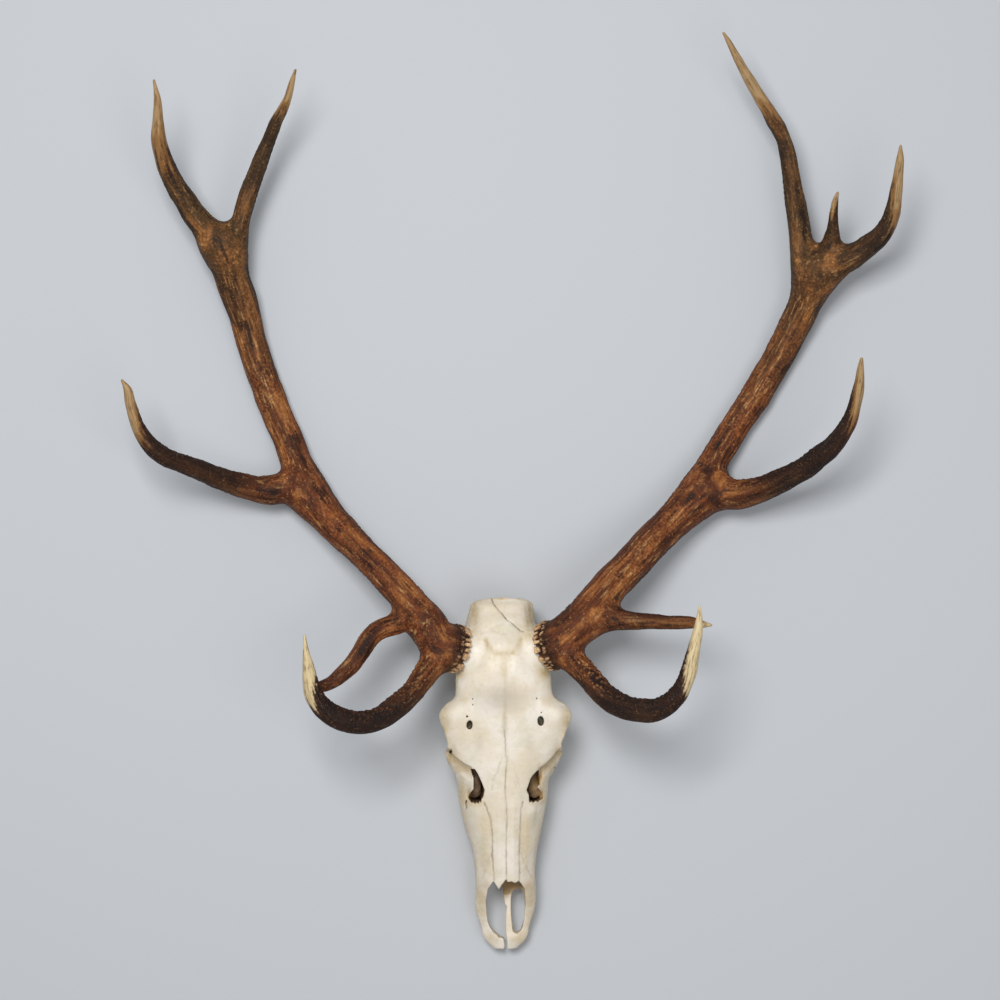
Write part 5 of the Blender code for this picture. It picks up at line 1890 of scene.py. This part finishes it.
SEAMS = (
    # Ochre crescent of painted shade under the raised oval, and its faint upper edge
    Seam(((485.6, 640), (488, 646), (492.5, 651), (499, 654.5), (505, 655.5), (511, 654), (516, 650),
          (520, 644), (521.6, 639)), 2.3, -0.35, 0.07, 0.9, 0.8),
    Seam(((489, 629), (497, 625.8), (505, 624.6), (513, 626), (519, 630)), 1.0, 0.1, 0.14, 0.9),
    # Temporal lines at both sides of the braincase
    Seam(((475, 601), (472, 611), (470, 621), (466, 632)), 1.1, 0.3, 0.22, 0.9, 0.4),
    Seam(((528.6, 601), (530, 610), (531.6, 620), (534, 630)), 1.3, 0.4, 0.34, 1.2, 0.6),
    Seam(((525, 604), (526.6, 614), (528, 626)), 1.0, 0.2, 0.16, 1.2, 0.3),
    # Between the frontal bones, then between the nose bones
    Seam(((505.2, 656), (505, 700), (504, 728)), 1.6, 0.10, 0.12),
    Seam(((504.2, 730), (505.4, 742), (505.6, 752), (505.8, 757)), 0.7, 0.35, 0.5, 0.5),
    Seam(((506.8, 757), (506.9, 764), (505.8, 772), (505.6, 780), (505, 790), (506.6, 806),
          (507, 818), (506.4, 832), (506.2, 850), (506.4, 866), (506.4, 881)), 0.7, 0.5, 0.55, 0.5),
    # Outer edges of the nose bones
    Seam(((503, 757), (499.6, 764), (497.6, 772), (493, 780), (491.8, 790)), 0.8, 0.3, 0.22, 0.9),
    Seam(((484.3, 803), (487, 809), (489.4, 816), (491, 824), (492.4, 836), (492.2, 854),
          (493, 866), (494, 880)), 0.8, 0.6, 0.62),
    Seam(((511, 760), (514.5, 768), (518, 780), (520, 790)), 0.8, 0.3, 0.15, 0.9),
    Seam(((523, 802), (521, 812), (520.4, 828), (519.8, 843), (519.3, 857), (519.8, 869),
          (519.6, 880)), 0.8, 0.6, 0.6),
    # Frontal and parietal bones
    Seam(((470, 630), (482, 633), (491, 631), (505, 634), (519, 632), (530, 630)), 1.2, 0.15, 0.13, 1.6),
    # Upper jaw against the front bones of the muzzle
    Seam(((521, 853), (524, 862), (528, 870), (532, 878)), 0.8, 0.2, 0.2),
    Seam(((489.6, 856), (486, 868), (482, 878)), 0.8, 0.2, 0.12),
    # The crack across the back of the head
    Seam(((490.6, 597), (493.6, 604), (498.4, 610), (503.2, 615), (506.8, 620.2), (511.6, 622.6),
          (516, 627), (520.5, 630.5), (523.6, 631.6)), 0.55, 0.9, 0.95, 0.5),
)
DENTS = tuple(Dent(*row) for row in (
    # Hollow of the forehead between the eyes, and the two swellings above it
    (505, 706, 14, 24, 2.0), (505, 745, 10, 18, 0.8), (490, 668, 9, 12, -1.6),
    (517, 666, 9, 12, -1.6), (503.6, 672, 3.5, 20, 0.9),
    # Grooves that lead to the two large holes
    (473, 705, 4, 14, 0.7), (470, 728, 5, 9, 1.0), (537, 702, 4, 14, 0.7),
    (541, 725, 5, 9, 1.0), (479, 748, 4, 14, 0.6), (530, 748, 4, 14, 0.6),
    # Eye rims raised above the forehead
    (452, 724, 6, 16, -1.4), (558, 722, 6, 16, -1.4),
    # Raised oval on the crown of the head, with a trough round it
    (504.5, 640, 15, 11, -2.4), (504.5, 656, 17, 5, 1.4), (484, 644, 4, 9, 0.9),
    (522, 643, 4, 9, 0.9),
    # Hollows behind the temporal lines
    (474, 612, 5, 16, 2.2), (530, 612, 5, 16, 2.2), (500, 606, 12, 8, 0.8),
    # Pits in front of the eyes
    (452, 759, 5, 6, 1.5), (460, 768, 6, 5, 1.5), (466, 774, 5, 5, 0.8),
    (557, 758, 4, 6, 1.5), (550, 768, 6, 5, 1.2), (544, 773, 5, 5, 0.6),
    # The torn rims of the openings, sunk at their outer sides
    (540.2, 777.5, 2.2, 8.0, 5.0), (541.4, 794, 2.4, 5, 3.0), (468.6, 795, 2.6, 7, 3.5),
    # The two nose bones and the troughs beside them
    (499.3, 835, 3.6, 46, -1.5), (513, 835, 3.6, 46, -1.5), (506.2, 825, 1.8, 50, 0.9),
    (489, 830, 3, 34, 1.2), (522.5, 830, 3, 34, 1.2), (472, 826, 6, 10, 1.6),
    (536, 822, 6, 10, 1.4), (481, 868, 4, 10, 0.9), (529, 868, 4, 10, 0.9),
))
# Middle of each burr, and the direction that the antler leaves it in
LEFT_BURR = ((453.5, 648, 100), (-0.82, 0.28, 0.50))
RIGHT_BURR = ((551, 645.5, 100), (0.82, 0.27, 0.50))

# Branches: column, row, height (mm) and width (pixels) of each station
LEFT_BRANCHES = (
    Branch("beam", (
        (453.5, 648, 100, 45), (446, 644.6, 103.2, 44), (438.5, 641, 106, 41), (430, 627, 107, 36),
        (406, 597.5, 98, 32),
        (389, 579, 88, 31), (367, 556, 74, 30), (346, 536, 58, 32), (327, 516, 44, 35),
        (308, 492, 32, 42), (296, 460, 24, 31), (289, 440, 21, 29.5), (280, 420, 18, 29.5),
        (271.5, 400, 17, 30), (264, 380, 17, 29.4), (257, 360, 18, 29.6), (251, 340, 20, 30.3),
        (246, 320, 24, 31), (240, 300, 31, 34.5), (233, 280, 40, 34.5), (228, 262, 47, 38),
        (222, 245, 52, 44),
    ), pearls=0.35),
    Branch("crown_outer", (
        (224, 252, 50, 32), (205, 228, 62, 26), (190.5, 210, 70, 23), (184.8, 200, 76, 22),
        (178, 190, 82, 20.5), (172.3, 180, 88, 19.5), (167.8, 170, 94, 19), (164, 160, 100, 18),
        (161, 150, 106, 17), (159, 140, 112, 15.5), (158, 120, 122, 11), (157.5, 100, 131, 7.5),
        (154, 80.5, 138, 2.2),
    ), ivory=0.085, dusk=0.38, one_sided=0.15, blend=0.5),
    Branch("crown_inner", (
        (229, 256, 50, 28), (238, 232, 56, 20), (240.8, 220, 58, 18.5), (246.4, 200, 62, 18.6),
        (253.4, 180, 67, 16.8), (261, 160, 74, 15.6), (269, 140, 82, 13.4), (277, 120, 92, 12),
        (282.4, 110, 98, 10.5), (287, 100, 104, 8.3), (292.5, 80, 116, 5.5), (295.5, 70, 122, 2.2),
    ), ivory=0.066, dusk=0.6, one_sided=0.05, blend=0.3),
    Branch("trez_tine", (
        (306, 492, 32, 34), (285, 488, 33, 30), (270, 490, 36, 30), (260, 489.6, 40, 26),
        (240, 484.8, 52, 23.8), (220, 478.6, 68, 22), (200, 470.4, 86, 20.3), (180, 463, 104, 18.7),
        (165, 457, 118, 19), (152, 447, 130, 17.5), (143, 435, 138, 15), (135.6, 420, 146, 13),
        (132.4, 410, 150, 11.8), (129.6, 400, 154, 10.4), (127.8, 390, 158, 8.7),
        (122, 380.5, 161, 2.4),
    ), ivory=0.05, inner_pearls=0.35, dusk=0.95, one_sided=0.5),
    Branch("brow_tine", (
        (446, 650, 105, 32), (437, 660, 112, 28), (423, 677, 128, 24), (412.5, 691.7, 142, 22),
        (397, 706, 158, 23.5), (379, 718.5, 174, 22.5), (356, 722.7, 190, 22.6),
        (331, 714.5, 202, 22), (318.5, 702.5, 208, 19.5), (312, 690, 212, 17.5),
        (310, 680, 214, 15), (308.5, 668, 216, 12), (306.5, 655, 217, 7.5), (304.5, 636, 217, 2.4),
    ), ivory=0.058, inner_pearls=0.8, dusk=1.0, pale=0.7, one_sided=0.5, blend=0.25),
    Branch("bez_tine", (
        (424, 624, 106, 34), (408, 618, 100, 26), (395, 624, 104, 22), (380, 630, 112, 20),
        (371, 637, 118, 19.5), (361, 652, 124, 18.5), (351, 666, 129, 17), (340, 676, 134, 15.5),
        (331, 683, 138, 13.5), (320, 687, 142, 11), (312, 689, 146, 2.6),
    ), ivory=0.004, dusk=0.12),
)
RIGHT_BRANCHES = (
    Branch("beam", (
        (551, 645.5, 100, 45), (558.5, 641, 104, 44), (566.5, 635, 107, 41.5), (574, 629, 108, 39.6),
        (598, 602, 98, 39),
        (613, 583, 88, 36), (630, 566, 78, 35.4), (645, 549, 67, 35.4), (660, 534, 56, 35),
        (680, 514, 43, 37), (702, 492, 32, 44), (715, 460, 24, 28.5), (727, 440, 21, 28.3),
        (739.3, 420, 18, 28), (753.6, 400, 17.4, 29.5), (765, 380, 17.4, 29.5), (777, 360, 18, 30),
        (787.3, 340, 21, 30.9), (797.3, 320, 26, 31.7), (806, 300, 34, 34), (812, 284, 42, 40),
        (817, 268, 48, 46),
    ), pearls=0.35),
    Branch("crown_inner", (
        (808, 272, 46, 28), (802, 248, 51, 23), (801, 240, 52, 22), (799.4, 230, 53, 21.4),
        (796.5, 210, 55, 20.6), (793.3, 190, 58, 18.7), (790.2, 170, 62, 16.8),
        (786.6, 150, 67, 15.8), (783.7, 140, 70, 15), (779.1, 130, 73, 15.3), (773.3, 120, 77, 15.5),
        (767.7, 110, 81, 13.8), (761.4, 100, 86, 13.3), (755.5, 90, 91, 11.7), (749.5, 80, 96, 11.3),
        (743.7, 70, 101, 9.4), (738.3, 60, 106, 8.7), (733, 50, 111, 6.7), (727.8, 40, 116, 5),
        (723.5, 33, 120, 2.4),
    ), ivory=0.13, dusk=0.66, one_sided=0.05, blend=0.15),
    Branch("crown_middle", (
        (823, 268, 52, 26), (830, 256, 60, 20), (832, 240, 68, 17), (832.8, 230, 73, 12.5),
        (834.1, 210, 83, 8), (835.5, 200, 88, 6), (837.8, 192.7, 91, 2.6),
    ), ivory=0.024, dusk=0.55),
    Branch("crown_outer", (
        (820, 274, 50, 36), (840, 262, 60, 28), (855, 254.5, 70, 25), (868, 246, 80, 21.5),
        (881, 235, 92, 19.5), (889.5, 222, 102, 17), (893, 210, 110, 15.5), (894.8, 200, 115, 13.6),
        (896.3, 190, 120, 12.5), (897.7, 180, 124, 10.8), (898.8, 170, 128, 9.4), (900, 160, 132, 8),
        (900.7, 146, 137, 2.6),
    ), ivory=0.078, dusk=0.8),
    Branch("trez_tine", (
        (702, 492, 32, 36), (715, 492, 34, 34), (740, 494.5, 44, 29), (750, 492.4, 51, 27),
        (760, 489.7, 58, 25), (780, 481.2, 75, 23.5), (800, 471.2, 93, 21.5), (810, 464.7, 102, 22),
        (820, 456.4, 112, 21.5), (830, 448.2, 121, 20.5), (844.3, 430, 136, 16.5),
        (849.5, 420, 143, 15.5), (853, 410, 149, 13.3), (858.2, 390, 158, 11.8),
        (859.8, 380, 162, 9.5), (860.4, 370, 166, 7.4), (861.5, 359, 169, 3.6),
    ), ivory=0.058, inner_pearls=0.35, dusk=1.0, one_sided=0.4),
    Branch("brow_tine", (
        (560, 646, 105, 32), (568, 655, 112, 28), (584, 672, 128, 24), (595.5, 685, 140, 23.5),
        (608, 698, 153, 24), (622, 706, 166, 24), (640, 710.5, 181, 23), (657.5, 709.5, 194, 21.5),
        (671, 702, 203, 20), (681, 690, 209, 18), (688, 674, 213, 16), (691.5, 659.5, 215, 14.5),
        (695, 644, 216, 12), (698, 630, 217, 9.8), (699.3, 618, 217, 6.5), (699.5, 606.7, 217, 2.4),
    ), ivory=0.072, inner_pearls=0.8, dusk=1.0, pale=0.75, one_sided=0.45, blend=0.25),
    Branch("bez_tine", (
        (580, 624, 106, 32), (596, 619, 106, 30), (612, 618.5, 109, 25), (622, 620, 113, 20.5),
        (632, 621, 117, 17.7),
        (650, 621.5, 124, 15.7), (670, 622.5, 130, 13.8), (684, 622.5, 134, 13.2),
        (690, 622.5, 135, 12.4), (703, 624.5, 138, 7.5), (711, 625, 140, 2.8),
    ), ivory=0.012, dusk=0.55, pale=0.4),
)
ANTLER_NODES = ("antler_base", "brow_tine", "bez_tine", "beam_lower", "trez_tine", "beam_upper",
                "crown_outer", "crown_inner")


def make_antlers() -> list[Antler]:
    """Descriptions of the two antlers, left first."""
    left = tuple(f"{name}_left" for name in ANTLER_NODES)
    right = tuple(f"{name}_right" for name in (*ANTLER_NODES, "crown_middle"))
    return [Antler(Side.LEFT, LEFT_BRANCHES, left, *LEFT_BURR, seed=3),
            Antler(Side.RIGHT, RIGHT_BRANCHES, right, *RIGHT_BURR, seed=5, rear_pearl_shade=0.75)]


def make_teeth() -> list[Tooth]:
    """Descriptions of the twelve cheek teeth."""
    kinds = (("molar", 2), ("premolar", 1))
    return [Tooth(f"{kind}_{side.word}_{number}", lobes, side)
            for side in Side for kind, lobes in kinds for number in (1, 2, 3)]


def place(obj: bpy.types.Object, slot: str, nodes: tuple[str, ...]) -> None:
    """Make a piece ride on the frame in place of its nodes, and report it.

    Args:
        obj: the piece.
        slot: material slot that it takes its finish from; not used.
        nodes: the nodes that it stands for.
    """
    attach(obj, "root")
    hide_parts(*nodes)
    LOG.info("%s: %d faces, in place of %d nodes", obj.name, len(obj.data.polygons), len(nodes))


def main() -> None:
    """Build every piece, place it and light it."""
    logging.basicConfig(level=logging.INFO, format="%(message)s")
    view = PhotoView.from_frame()
    Studio().build(view)
    teeth = make_teeth()
    enamel = EnamelFinish().build()
    for tooth in teeth:
        place(tooth.build(enamel), "enamel", (tooth.name,))
    skull = Skull(view, Noise(11))
    place(skull.build(teeth, BoneFinish().build()), "bone", ("skull",))
    antler_finish = AntlerFinish().build()
    for antler in make_antlers():
        place(antler.build(view, antler_finish), "antler", antler.nodes)


if __name__ == "__main__":
    main()
